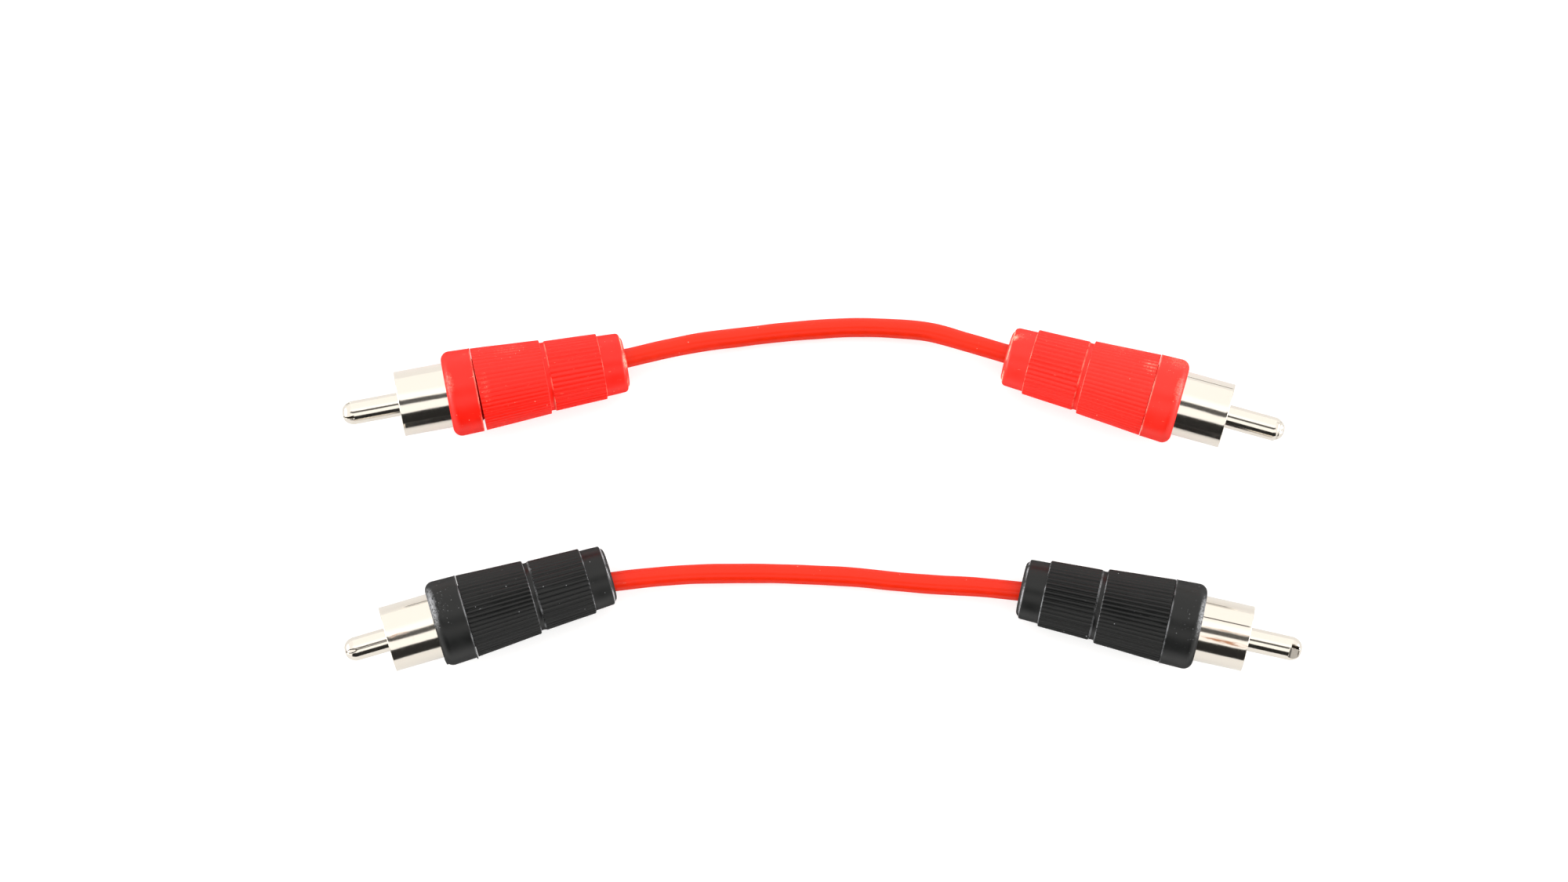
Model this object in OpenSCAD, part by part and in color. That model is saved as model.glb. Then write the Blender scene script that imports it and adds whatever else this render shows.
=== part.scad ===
// A pair of short phono leads: one with red plugs, one with black plugs, both on thin red cable.
// Each plug has a split centre pin, a ground sleeve, a moulded collar and a ribbed screw cap.
// Frame: +Z up, the leads lie along X, and Z = 0 is the surface that they rest on.
// A plug's own frame: s runs along its axis towards the pin, and s = 0 is where collar and cap meet.

/* [Centre pin] */
// Diameter of the pin
pin_d = 3.2; // [2.8:0.1:3.6]
// How far a pin in its full place stands out past the ground sleeve
pin_out = 7.95; // [6.5:0.05:9.5]
// Length of the rounded nose
nose_len = 1.4; // [1.1:0.1:1.8]
// Diameter of the blunt end of the nose
nose_tip_d = 1.1; // [0.8:0.1:1.5]
// Wall of the hollow front of the pin
pin_wall = 0.5; // [0.4:0.05:0.7]
// Number of splits in the nose
nose_splits = 4; // [2:1:6]
// Width of each split
split_w = 0.2; // [0.1:0.05:0.35]
// Diameter of the round relief where a split ends
relief_d = 0.5; // [0.4:0.05:0.7]
// Diameter of the shank that the insulator holds
shank_d = 2.2; // [1.9:0.1:2.5]
// How far the shank reaches behind the collar
shank_tail = 4; // [3.2:0.1:5]
// Bore of the solder cup at the end of the shank
cup_bore_d = 1.5; // [1.3:0.1:1.6]
// Depth of the solder cup
cup_depth = 2.2; // [1.6:0.1:2.6]

/* [Ground sleeve] */
// Outer diameter of the sleeve
sleeve_d = 8.9; // [8.6:0.1:9.3]
// Wall of the sleeve
sleeve_wall = 0.35; // [0.25:0.05:0.45]
// How far the sleeve stands out of the collar
sleeve_out = 6.55; // [5.5:0.05:7.5]
// Thickness of the sleeve's base
sleeve_base = 0.4; // [0.3:0.1:0.6]

/* [Insulator] */
// Thickness of the insulator's disc
insulator_t = 1.6; // [1.2:0.1:2]
// Diameter of the bush behind the disc
bush_d = 3.7; // [3.3:0.1:3.9]
// How far the bush reaches behind the collar
bush_tail = 0.6; // [0.3:0.1:1.2]

/* [Collar] */
// Diameter of the collar at its rounded front edge
collar_d = 11.7; // [11.5:0.1:12.5]
// Diameter of the collar at the joint with the cap
collar_rear_d = 11.5; // [11.2:0.1:12.2]
// Length of a red plug's collar
red_collar_len = 4.1; // [3.9:0.1:5.2]
// Length of a black plug's collar
black_collar_len = 4.4; // [3.9:0.1:5.2]
// Radius of the collar's front edge
collar_round = 1.2; // [0.6:0.1:1.2]
// Thickness of the floor that carries the sleeve
collar_floor = 1; // [0.7:0.1:1.3]
// Outer diameter of the screwed spigot
spigot_d = 8.6; // [8.3:0.1:8.8]
// Wall of the spigot
spigot_wall = 1.1; // [0.8:0.1:1.2]
// Length of the spigot
spigot_len = 5; // [4:0.1:6]

/* [Screw cap] */
// Front diameter of the first ribbed band
band1_d = 11.4; // [11:0.1:12.2]
// Rear diameter of the first ribbed band
band1_rear_d = 10.24; // [9.9:0.02:10.8]
// Length of the first ribbed band
band1_len = 9; // [8:0.1:10]
// Number of ribs on the first band
band1_ribs = 56; // [48:1:64]
// Depth of the first band's ribs
band1_rib_depth = 0.22; // [0.14:0.02:0.3]
// Diameter of the plain ring between the bands
ring_d = 9.44; // [9.2:0.02:9.6]
// Length of the plain ring
ring_len = 0.7; // [0.5:0.1:1]
// Front diameter of the second ribbed band
band2_d = 9.72; // [9.5:0.02:9.9]
// Rear diameter of the second ribbed band
band2_rear_d = 9.1; // [8.9:0.02:9.4]
// Length of the second ribbed band
band2_len = 7.1; // [6.2:0.1:8]
// Number of ribs on the second band
band2_ribs = 44; // [38:1:50]
// Depth of the second band's ribs
band2_rib_depth = 0.24; // [0.16:0.02:0.3]
// Front diameter of the smooth neck
neck_d = 8.4; // [8.1:0.1:8.6]
// Rear diameter of the smooth neck
neck_rear_d = 8.2; // [8:0.1:8.4]
// Length of a red cap's neck
red_neck_len = 3.1; // [2.6:0.05:3.8]
// Length of a black cap's neck
black_neck_len = 2.75; // [2.6:0.05:3.8]
// Edge radius at the rear of a red cap's neck
red_neck_round = 0.6; // [0.3:0.1:0.9]
// Edge radius at the rear of a black cap's neck
black_neck_round = 0.4; // [0.3:0.1:0.9]
// Diameter of the raised ring round a red cap's cable hole
red_boss_d = 6.9; // [6:0.1:7]
// How far a red cap's ring stands out
red_boss_len = 0.25; // [0.1:0.05:0.8]
// Diameter of the raised ring round a black cap's cable hole
black_boss_d = 6.3; // [6:0.1:7]
// How far a black cap's ring stands out
black_boss_len = 0.45; // [0.1:0.05:0.8]
// Diameter of the cable hole
cable_hole_d = 5.4; // [5.2:0.1:5.6]
// Depth of the screwed bore
screw_depth = 7; // [6.4:0.1:7.8]
// Bore of the room behind it
room_d = 7; // [6.8:0.1:7.2]
// Thickness of the end wall, without the raised ring
end_wall = 1.2; // [0.8:0.1:1.6]

/* [Cable] */
// Diameter of the cable's jacket
cable_d = 2.7; // [2.4:0.1:2.8]
// Diameter of the inner core's insulation
core_d = 1.4; // [1.2:0.1:1.5]
// Diameter of the bare centre conductor
conductor_d = 0.6; // [0.4:0.1:0.7]
// Diameter of the twisted shield strands
shield_d = 0.5; // [0.4:0.1:0.6]

/* [Ground tag] */
// Thickness of the tag's sheet
tag_t = 0.4; // [0.3:0.05:0.45]
// Width of the tag's arm
tag_w = 2.4; // [2:0.1:2.7]
// Distance of the cable's centre from the plug's axis at the clamp
clamp_offset = 0.75; // [0.6:0.05:0.8]
// Where the clamp starts, behind the collar
clamp_from = 12.5; // [12:0.1:13.2]
// Length of the clamp's ears
clamp_len = 3; // [2.2:0.1:3.4]
// Angle left open between the ears
clamp_open = 50; // [30:5:80]
// Length of the bare conductor outside its solder
bare_len = 2; // [1.6:0.1:2.4]
// Where the shield is soldered to the tag, behind the collar
shield_solder_at = 7.6; // [7:0.1:8.2]
// Diameter of the solder on the tag
solder_d = 1.9; // [1.6:0.1:2.1]
// Height of the solder on the tag
solder_h = 0.9; // [0.8:0.05:1]

/* [Fits and gaps] */
// Radial gap of pieces pressed or moulded together
press_gap = 0.02; // [0.01:0.01:0.04]
// Radial gap between loose pieces
slip_gap = 0.05; // [0.03:0.01:0.08]
// Radial gap between the spigot and the cap
screw_gap = 0.1; // [0.06:0.02:0.16]
// Gap between a tight cap and its collar
cap_gap = 0.1; // [0.06:0.02:0.2]
// Gap between the left red cap and its collar, half a turn loose
red_left_cap_gap = 0.4; // [0.1:0.1:0.9]
// How deep the left red pin is pushed in
red_left_pin_in = 0.2; // [0:0.1:2.4]
// How deep the right red pin is pushed in
red_right_pin_in = 0; // [0:0.1:2.4]
// How deep the left black pin is pushed in
black_left_pin_in = 2.1; // [0:0.1:2.4]
// How deep the right black pin is pushed in
black_right_pin_in = 0.7; // [0:0.1:2.4]

/* [Places] */
// Distance between the lines that the two leads lie along
leads_apart = 30; // [26:0.5:60]
// Distance between the two cable holes of the red lead
red_span = 52.1; // [50:0.1:60]
// Distance between the two cable holes of the black lead
black_span = 55.5; // [53:0.1:64]

/* [Hidden] */

RED_LEFT = 0;
RED_RIGHT = 1;
BLACK_LEFT = 2;
BLACK_RIGHT = 3;

// How far each plug's cable hole lies from its lead's line, and the way its pin points from +X.
PLUG_OFF = [3.85, 4.75, 4.7, 2.8];
PLUG_YAW = [191.5, -16.5, 197, -13.2];
// How far each ground tag is turned round the plug's axis from straight below.
TAG_TURN = [-48, 26, 60, 0];
// How far each cable has moved sideways between its clamp and the cable hole.
CABLE_SHIFT = [0, 0, 0.4, -0.35];

// The free run of each cable, from the left plug to the right one, measured from its lead's middle.
RED_RUN = [
    [-20.8, 5.8, 3.2], [-15.6, 7, 2.3], [-10.4, 7.8, 1.6], [-5.2, 8.5, 1.4], [0, 9, 1.4],
    [5.2, 9.3, 1.4], [10.4, 9.1, 1.6], [15.6, 8.4, 2.2], [20.8, 6.8, 3]
];
BLACK_RUN = [
    [-22, 4.4, 3.3], [-16.5, 4.9, 2.4], [-11, 5.1, 1.6], [-5.5, 5.1, 1.4], [0, 4.9, 1.4],
    [5.5, 4.6, 1.4], [11, 4, 1.6], [16.5, 3.5, 2.1], [22, 3.1, 2.9]
];
RED_MIDDLE = -0.3;
BLACK_MIDDLE = -0.45;

RED = "#ff3324";
BLACK = "#262829";
NICKEL = "#d8d2c8";
NATURAL = "#efe9da";
COPPER = "#c47a4a";
SOLDER = "#a9abad";
CABLE_SIDES = 8;
ROUND = 96;
SMALL_ROUND = 48;
ARC_STEPS = 8;
EPS = 0.01;

// Places along a plug's axis.
washer_at = collar_floor;
base_at = washer_at + tag_t;
disc_at = base_at + sleeve_base;
face_at = disc_at + insulator_t;
neck_from = band1_len + ring_len + band2_len;
clamp_to = clamp_from + clamp_len;
jacket_from = clamp_from - slip_gap;

// Radii that follow from the sizes above.
sleeve_bore = sleeve_d / 2 - sleeve_wall;
spigot_bore = spigot_d / 2 - spigot_wall;
arm_inner = clamp_offset + cable_d / 2 + slip_gap;

function is_red(p) = p < BLACK_LEFT;
function body_colour(p) = is_red(p) ? RED : BLACK;
function collar_len(p) = is_red(p) ? red_collar_len : black_collar_len;
function neck_len(p) = is_red(p) ? red_neck_len : black_neck_len;
function neck_round(p) = is_red(p) ? red_neck_round : black_neck_round;
function boss_d(p) = is_red(p) ? red_boss_d : black_boss_d;
function boss_len(p) = is_red(p) ? red_boss_len : black_boss_len;
function gap(p) = p == RED_LEFT ? red_left_cap_gap : cap_gap;
function pin_in(p) = [red_left_pin_in, red_right_pin_in, black_left_pin_in, black_right_pin_in][p];

function sleeve_front(p) = collar_len(p) + sleeve_out;
function cap_len(p) = neck_from + neck_len(p) + boss_len(p);
function reach(p) = gap(p) + cap_len(p);

// A lead's middle lies on its line, halfway between its two cable holes.
function middle(p) = is_red(p) ? [RED_MIDDLE, leads_apart / 2] : [BLACK_MIDDLE, -leads_apart / 2];
function half_span(p) = (is_red(p) ? red_span : black_span) / 2;
function is_left(p) = p == RED_LEFT || p == BLACK_LEFT;
function hole_at(p) = middle(p) + [is_left(p) ? -half_span(p) : half_span(p), PLUG_OFF[p]];

// A plug lies on its collar, at the rear edge or where the front edge starts to round, and on the
// first band that the table meets.
function lean(p, rear_d, len) = atan((collar_rear_d - rear_d) / 2 / (gap(p) + len));
function tilt(p) = min(lean(p, band1_rear_d, band1_len), lean(p, band2_rear_d, neck_from));
function resting(p, d, s) = d / 2 * cos(tilt(p)) - (reach(p) + s) * sin(tilt(p));
function hole_height(p) =
    max(resting(p, collar_rear_d, 0), resting(p, collar_d, collar_len(p) - collar_round));

// A plug's point at s along its axis, y to the side and z upwards, in the part's frame.
function pin_way(p) = let (t = tilt(p), w = PLUG_YAW[p]) [cos(t) * cos(w), cos(t) * sin(w), sin(t)];
function side_way(p) = let (w = PLUG_YAW[p]) [-sin(w), cos(w), 0];
function plug_point(p, s, y, z) =
    [hole_at(p).x, hole_at(p).y, hole_height(p)]
    + pin_way(p) * (s + reach(p)) + side_way(p) * y + cross(pin_way(p), side_way(p)) * z;

// Where the cable's centre lies in a plug: in the clamp, halfway to the hole and in the hole.
function cable_point(p, s, share) = plug_point(
    p, s, clamp_offset * sin(TAG_TURN[p]) + CABLE_SHIFT[p] * share, -clamp_offset * cos(TAG_TURN[p])
);
function held_run(p) = [
    cable_point(p, -jacket_from, 0),
    cable_point(p, -clamp_to, 0),
    cable_point(p, -(clamp_to + reach(p)) / 2, 0.25),
    cable_point(p, -reach(p), 1)
];
function reversed(points) = [for (i = [len(points) - 1 : -1 : 0]) points[i]];
function free_run(p, run) = [for (a = run) a + [middle(p).x, middle(p).y, 0]];
function cable_run(left, run, right) =
    concat(held_run(left), free_run(left, run), reversed(held_run(right)));

// A tube swept along points: a ring of corners square to the run at each point, joined in triangles.
function run_way(points, i) =
    let (a = points[max(i - 1, 0)], b = points[min(i + 1, len(points) - 1)]) (b - a) / norm(b - a);
function ring_corners(centre, way, r, sides) =
    let (across = cross([0, 0, 1], way), u = across / norm(across), v = cross(way, u))
    [for (k = [0 : sides - 1]) let (a = (k + 0.5) * 360 / sides) centre + r * (cos(a) * u + sin(a) * v)];
function tube_corners(points, r, sides) =
    [for (i = [0 : len(points) - 1]) each ring_corners(points[i], run_way(points, i), r, sides)];
function tube_faces(rings, sides) = concat(
    [for (k = [1 : sides - 2]) [0, k, k + 1]],
    [for (i = [0 : rings - 2], k = [0 : sides - 1])
        let (a = i * sides + k, b = i * sides + (k + 1) % sides) [a, a + sides, b]],
    [for (i = [0 : rings - 2], k = [0 : sides - 1])
        let (a = i * sides + k, b = i * sides + (k + 1) % sides) [a + sides, b + sides, b]],
    [for (k = [1 : sides - 2]) let (e = (rings - 1) * sides) [e, e + k + 1, e + k]]
);

// Points of a quarter round of radius r about (x, y), from angle a to angle b.
function arc(x, y, r, a, b) =
    [for (i = [0 : ARC_STEPS]) let (t = a + (b - a) * i / ARC_STEPS) [x + r * cos(t), y + r * sin(t)]];

// Corners of a ribbed outline: a flat top and a V-shaped groove for each rib.
function ribbed_outline(r, ribs, depth) = [
    for (k = [0 : ribs - 1], c = [[-0.28, 0], [0.28, 0], [0.5, depth]])
        let (a = (k + c[0]) * 360 / ribs) (r - c[1]) * [cos(a), sin(a)]
];

module tube(points, r) {
    polyhedron(tube_corners(points, r, CABLE_SIDES), tube_faces(len(points), CABLE_SIDES));
}

// Puts what is drawn in a plug's own frame where that plug lies.
module at_plug(p) {
    translate([hole_at(p).x, hole_at(p).y, hole_height(p)])
        rotate([0, -tilt(p), PLUG_YAW[p]])
            translate([reach(p), 0, 0])
                children();
}

// A solid turned about the plug's axis from an outline of [radius, s] points.
module turned(outline, sides = ROUND) {
    rotate([0, 90, 0]) rotate_extrude($fn = sides) polygon(outline);
}

// A round bar about the plug's axis.
module bar(d, from, to, sides = ROUND) {
    translate([from, 0, 0]) rotate([0, 90, 0]) cylinder(d = d, h = to - from, $fn = sides);
}

module collar(p) {
    r = collar_d / 2;
    len = collar_len(p);
    pocket = sleeve_d / 2 + press_gap;
    color(body_colour(p)) at_plug(p) difference() {
        union() {
            turned(concat(
                [[0, 0], [collar_rear_d / 2, 0]],
                arc(r - collar_round, len - collar_round, collar_round, 0, 90),
                [[0, len]]
            ));
            bar(spigot_d, -spigot_len, EPS);
        }
        bar(2 * pocket, collar_floor, len + 1);
        bar(2 * spigot_bore, -spigot_len - 1, collar_floor + EPS);
    }
}

module ground_sleeve(p) {
    color(NICKEL) at_plug(p) difference() {
        bar(sleeve_d, base_at, sleeve_front(p));
        bar(2 * sleeve_bore, disc_at, sleeve_front(p) + 1);
        bar(bush_d + 2 * slip_gap, base_at - 1, disc_at + 1);
    }
}

module insulator(p) {
    color(NATURAL) at_plug(p) difference() {
        union() {
            bar(2 * (sleeve_bore - press_gap), disc_at, face_at);
            bar(bush_d, -bush_tail, disc_at + EPS);
        }
        bar(shank_d + 2 * press_gap, -bush_tail - 1, face_at + 1);
    }
}

// The pin is rolled from sheet: hollow in front, with a nose pressed in from petals.
module centre_pin(p) {
    tip = sleeve_front(p) + pin_out - pin_in(p);
    shoulder = tip - nose_len;
    nose_r = pin_d / 2 - nose_tip_d / 2;
    hollow_d = pin_d - 2 * pin_wall;
    color(NICKEL) at_plug(p) difference() {
        union() {
            turned(concat(
                [[0, face_at], [pin_d / 2, face_at]],
                [for (i = [0 : ARC_STEPS]) let (t = 90 * i / ARC_STEPS)
                    [nose_tip_d / 2 + nose_r * cos(t), shoulder + nose_len * sin(t)]],
                [[0, tip]]
            ), SMALL_ROUND);
            bar(shank_d, -shank_tail, face_at + EPS, SMALL_ROUND);
        }
        bar(hollow_d, face_at + pin_wall, shoulder, SMALL_ROUND);
        bar(cup_bore_d, -shank_tail - 1, -shank_tail + cup_depth, SMALL_ROUND);
        for (k = [0 : nose_splits - 1]) rotate([45 + k * 360 / nose_splits, 0, 0]) {
            translate([shoulder, -split_w / 2, 0]) cube([nose_len + 1, split_w, pin_d]);
            translate([shoulder, 0, 0]) cylinder(d = relief_d, h = pin_d, $fn = 24);
        }
    }
}

// The tag is one pressed piece: a washer under the sleeve's base, an arm, and ears round the cable.
module ground_tag(p) {
    ear_inner = cable_d / 2 + slip_gap;
    ear_outer = ear_inner + tag_t;
    color(NICKEL) at_plug(p) rotate([TAG_TURN[p], 0, 0]) difference() {
        union() {
            bar(sleeve_d - 2 * press_gap, washer_at, base_at);
            intersection() {
                translate([-clamp_to, -tag_w / 2, -arm_inner - tag_t])
                    cube([clamp_to + washer_at + tag_t / 2, tag_w, tag_t]);
                bar(2 * (spigot_bore - slip_gap), -clamp_to - 1, base_at);
            }
            translate([0, 0, -clamp_offset]) bar(2 * ear_outer, -clamp_to, -clamp_from, SMALL_ROUND);
        }
        translate([0, 0, -clamp_offset])
            bar(2 * ear_inner, -clamp_to - 1, -clamp_from + 1, SMALL_ROUND);
        bar(bush_d + 2 * slip_gap, washer_at - EPS, base_at + 1);
        translate([-clamp_to - 1, 0, -clamp_offset]) rotate([90, 0, 90])
            linear_extrude(clamp_len + 1 + EPS) polygon([
                [0, 0],
                2 * ear_outer * [sin(clamp_open / 2), cos(clamp_open / 2)],
                2 * ear_outer * [-sin(clamp_open / 2), cos(clamp_open / 2)]
            ]);
    }
}

module screw_cap(p) {
    front = -gap(p);
    band2_from = band1_len + ring_len;
    neck_to = neck_from + neck_len(p);
    hole_r = cable_hole_d / 2;
    under1 = band1_rib_depth + slip_gap;
    under2 = band2_rib_depth + slip_gap;
    round_r = min(neck_round(p), (neck_rear_d - boss_d(p)) / 2);
    color(body_colour(p)) at_plug(p) translate([front, 0, 0]) difference() {
        union() {
            ribbed_band(0, band1_d, band1_rear_d, band1_len, band1_ribs, band1_rib_depth);
            ribbed_band(band2_from, band2_d, band2_rear_d, band2_len, band2_ribs, band2_rib_depth);
            turned(concat(
                [[0, 0], [band1_d / 2 - under1, 0], [band1_rear_d / 2 - under1, -band1_len + EPS]],
                [[ring_d / 2, -band1_len + EPS], [ring_d / 2, -band2_from - EPS]],
                [[band2_d / 2 - under2, -band2_from - EPS]],
                [[neck_d / 2, -neck_from + EPS]],
                arc(neck_rear_d / 2 - round_r, -neck_to + round_r, round_r, 0, -90),
                [for (i = [0 : 2]) let (t = 45 * i)
                    [hole_r + (boss_d(p) / 2 - hole_r) * cos(t), -neck_to - boss_len(p) * sin(t)]],
                [[0, -cap_len(p)]]
            ));
        }
        bar(spigot_d + 2 * screw_gap, -screw_depth, 1);
        bar(room_d, -neck_to + end_wall, -screw_depth + EPS);
        bar(cable_hole_d, -cap_len(p) - 1, -neck_to + end_wall + EPS);
    }
}

module ribbed_band(from, front_d, rear_d, length, ribs, depth) {
    translate([-from, 0, 0]) rotate([0, -90, 0])
        linear_extrude(length, scale = rear_d / front_d)
            polygon(ribbed_outline(front_d / 2, ribs, depth));
}

// Solder fills the pin's cup round the conductor and ends in a low dome.
module pin_solder(p) {
    r = cup_bore_d / 2 - press_gap;
    color(SOLDER) at_plug(p) difference() {
        turned([
            [0, -shank_tail + cup_depth - press_gap],
            [r, -shank_tail + cup_depth - press_gap],
            [r, -shank_tail],
            [r * 0.8, -shank_tail - r * 0.45],
            [0, -shank_tail - r * 0.7]
        ], SMALL_ROUND);
        bar(conductor_d + 2 * press_gap, -shank_tail - r, -shank_tail + cup_depth / 2, SMALL_ROUND);
    }
}

// Where the inner core runs: straight from the solder, across to the cable's centre, then into it.
function core_point(p, s, share) = plug_point(
    p, s, clamp_offset * sin(TAG_TURN[p]) * share, -clamp_offset * cos(TAG_TURN[p]) * share
);
function bare_run(p) = let (s = -shank_tail - cup_bore_d / 2, dip = 0.1) [
    core_point(p, -shank_tail + cup_depth / 2 - press_gap, 0),
    core_point(p, s, 0),
    core_point(p, s - bare_len / 2, dip),
    core_point(p, s - bare_len, 3 * dip)
];
function core_run(p) = let (s = -shank_tail - cup_bore_d / 2 - bare_len, dip = 0.1) [
    core_point(p, s, 3 * dip),
    core_point(p, s - bare_len / 2, 5 * dip),
    core_point(p, s - 2 * bare_len, 1),
    core_point(p, -jacket_from, 1)
];

module conductor(p) {
    color(COPPER) tube(bare_run(p), conductor_d / 2);
}

module core(p) {
    color(NATURAL) tube(core_run(p), core_d / 2);
}

// The twisted shield lies along the arm, from the end of the jacket into the solder on the tag.
module shield_strands(p) {
    color(COPPER) at_plug(p) rotate([TAG_TURN[p], 0, 0])
        translate([0, 0, -arm_inner + shield_d / 2 + slip_gap])
            bar(shield_d, -jacket_from, -shield_solder_at - slip_gap, SMALL_ROUND);
}

module shield_solder(p) {
    r = solder_d / 2;
    color(SOLDER) at_plug(p) rotate([TAG_TURN[p], 0, 0]) difference() {
        translate([-shield_solder_at, 0, -arm_inner]) rotate_extrude($fn = SMALL_ROUND)
            polygon([[0, 0], [r, 0], [r * 0.86, solder_h * 0.55], [r * 0.5, solder_h * 0.9], [0, solder_h]]);
        translate([0, 0, -arm_inner + shield_d / 2 + slip_gap])
            bar(shield_d + 2 * press_gap, -jacket_from, -shield_solder_at, SMALL_ROUND);
    }
}

module cable(left, run, right) {
    color(RED) tube(cable_run(left, run, right), cable_d / 2);
}

collar(RED_LEFT);  // red_left_collar
ground_sleeve(RED_LEFT);  // red_left_ground_sleeve
insulator(RED_LEFT);  // red_left_insulator
centre_pin(RED_LEFT);  // red_left_centre_pin
ground_tag(RED_LEFT);  // red_left_ground_tag
screw_cap(RED_LEFT);  // red_left_screw_cap
pin_solder(RED_LEFT);  // red_left_pin_solder
shield_solder(RED_LEFT);  // red_left_shield_solder
core(RED_LEFT);  // red_left_core
conductor(RED_LEFT);  // red_left_conductor
shield_strands(RED_LEFT);  // red_left_shield_strands

collar(RED_RIGHT);  // red_right_collar
ground_sleeve(RED_RIGHT);  // red_right_ground_sleeve
insulator(RED_RIGHT);  // red_right_insulator
centre_pin(RED_RIGHT);  // red_right_centre_pin
ground_tag(RED_RIGHT);  // red_right_ground_tag
screw_cap(RED_RIGHT);  // red_right_screw_cap
pin_solder(RED_RIGHT);  // red_right_pin_solder
shield_solder(RED_RIGHT);  // red_right_shield_solder
core(RED_RIGHT);  // red_right_core
conductor(RED_RIGHT);  // red_right_conductor
shield_strands(RED_RIGHT);  // red_right_shield_strands

collar(BLACK_LEFT);  // black_left_collar
ground_sleeve(BLACK_LEFT);  // black_left_ground_sleeve
insulator(BLACK_LEFT);  // black_left_insulator
centre_pin(BLACK_LEFT);  // black_left_centre_pin
ground_tag(BLACK_LEFT);  // black_left_ground_tag
screw_cap(BLACK_LEFT);  // black_left_screw_cap
pin_solder(BLACK_LEFT);  // black_left_pin_solder
shield_solder(BLACK_LEFT);  // black_left_shield_solder
core(BLACK_LEFT);  // black_left_core
conductor(BLACK_LEFT);  // black_left_conductor
shield_strands(BLACK_LEFT);  // black_left_shield_strands

collar(BLACK_RIGHT);  // black_right_collar
ground_sleeve(BLACK_RIGHT);  // black_right_ground_sleeve
insulator(BLACK_RIGHT);  // black_right_insulator
centre_pin(BLACK_RIGHT);  // black_right_centre_pin
ground_tag(BLACK_RIGHT);  // black_right_ground_tag
screw_cap(BLACK_RIGHT);  // black_right_screw_cap
pin_solder(BLACK_RIGHT);  // black_right_pin_solder
shield_solder(BLACK_RIGHT);  // black_right_shield_solder
core(BLACK_RIGHT);  // black_right_core
conductor(BLACK_RIGHT);  // black_right_conductor
shield_strands(BLACK_RIGHT);  // black_right_shield_strands

cable(RED_LEFT, RED_RUN, RED_RIGHT);  // red_lead_cable
cable(BLACK_LEFT, BLACK_RUN, BLACK_RIGHT);  // black_lead_cable
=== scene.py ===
"""Dresses a pair of short phono leads, one with red plugs and one with black plugs, for rendering.

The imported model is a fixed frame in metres. Sizes here are in millimetres, in each plug's own
frame: s runs along the plug towards its pin and is 0 where the collar meets a tight screw cap.
Angles round the plug's axis start straight above it.
"""

from __future__ import annotations

import logging
import math
from collections.abc import Callable, Iterator, Mapping, Sequence
from dataclasses import dataclass, field, replace
from enum import Enum

import bpy
import numpy as np
from mathutils import Matrix, Vector


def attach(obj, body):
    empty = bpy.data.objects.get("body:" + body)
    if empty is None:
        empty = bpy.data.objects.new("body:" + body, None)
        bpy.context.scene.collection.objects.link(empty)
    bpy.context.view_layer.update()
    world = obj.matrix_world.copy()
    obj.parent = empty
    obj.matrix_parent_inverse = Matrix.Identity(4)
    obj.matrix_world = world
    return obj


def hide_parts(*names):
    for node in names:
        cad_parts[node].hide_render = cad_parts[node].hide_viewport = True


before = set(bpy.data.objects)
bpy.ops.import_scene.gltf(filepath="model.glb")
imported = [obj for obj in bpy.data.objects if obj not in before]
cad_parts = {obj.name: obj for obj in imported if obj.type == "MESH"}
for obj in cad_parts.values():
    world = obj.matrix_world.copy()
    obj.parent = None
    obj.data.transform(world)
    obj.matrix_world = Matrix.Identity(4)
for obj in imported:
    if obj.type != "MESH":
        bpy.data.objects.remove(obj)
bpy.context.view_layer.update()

LOG = logging.getLogger("phono_leads")
MM = 0.001

# Names of the values that a mesh holds at each of its points.
PLACE = "place"
WORN_AND_HIGHLIGHT = "worn"
DARK = "dark"
DROP = "drop"
TURN = "turn"
VALLEY = "valley"

Point = tuple[float, float, float]
Turned = tuple[np.ndarray, np.ndarray, np.ndarray]
Socket = bpy.types.NodeSocket


class Shell(Enum):
    """The two colours of moulded plastic."""

    RED = "red_plastic"
    BLACK = "black_plastic"


class Nose(Enum):
    """How a pin's nose was pressed in."""

    ROUND = "round"
    CRIMPED = "crimped"
    FACETED = "faceted"


# --------------------------------------------------------------------------- sizes and places


def angle_from(a: np.ndarray, degrees: float) -> np.ndarray:
    """Gives angles as seen from one in degrees, between -pi and pi."""
    return (a - math.radians(degrees) + math.pi) % math.tau - math.pi


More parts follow.
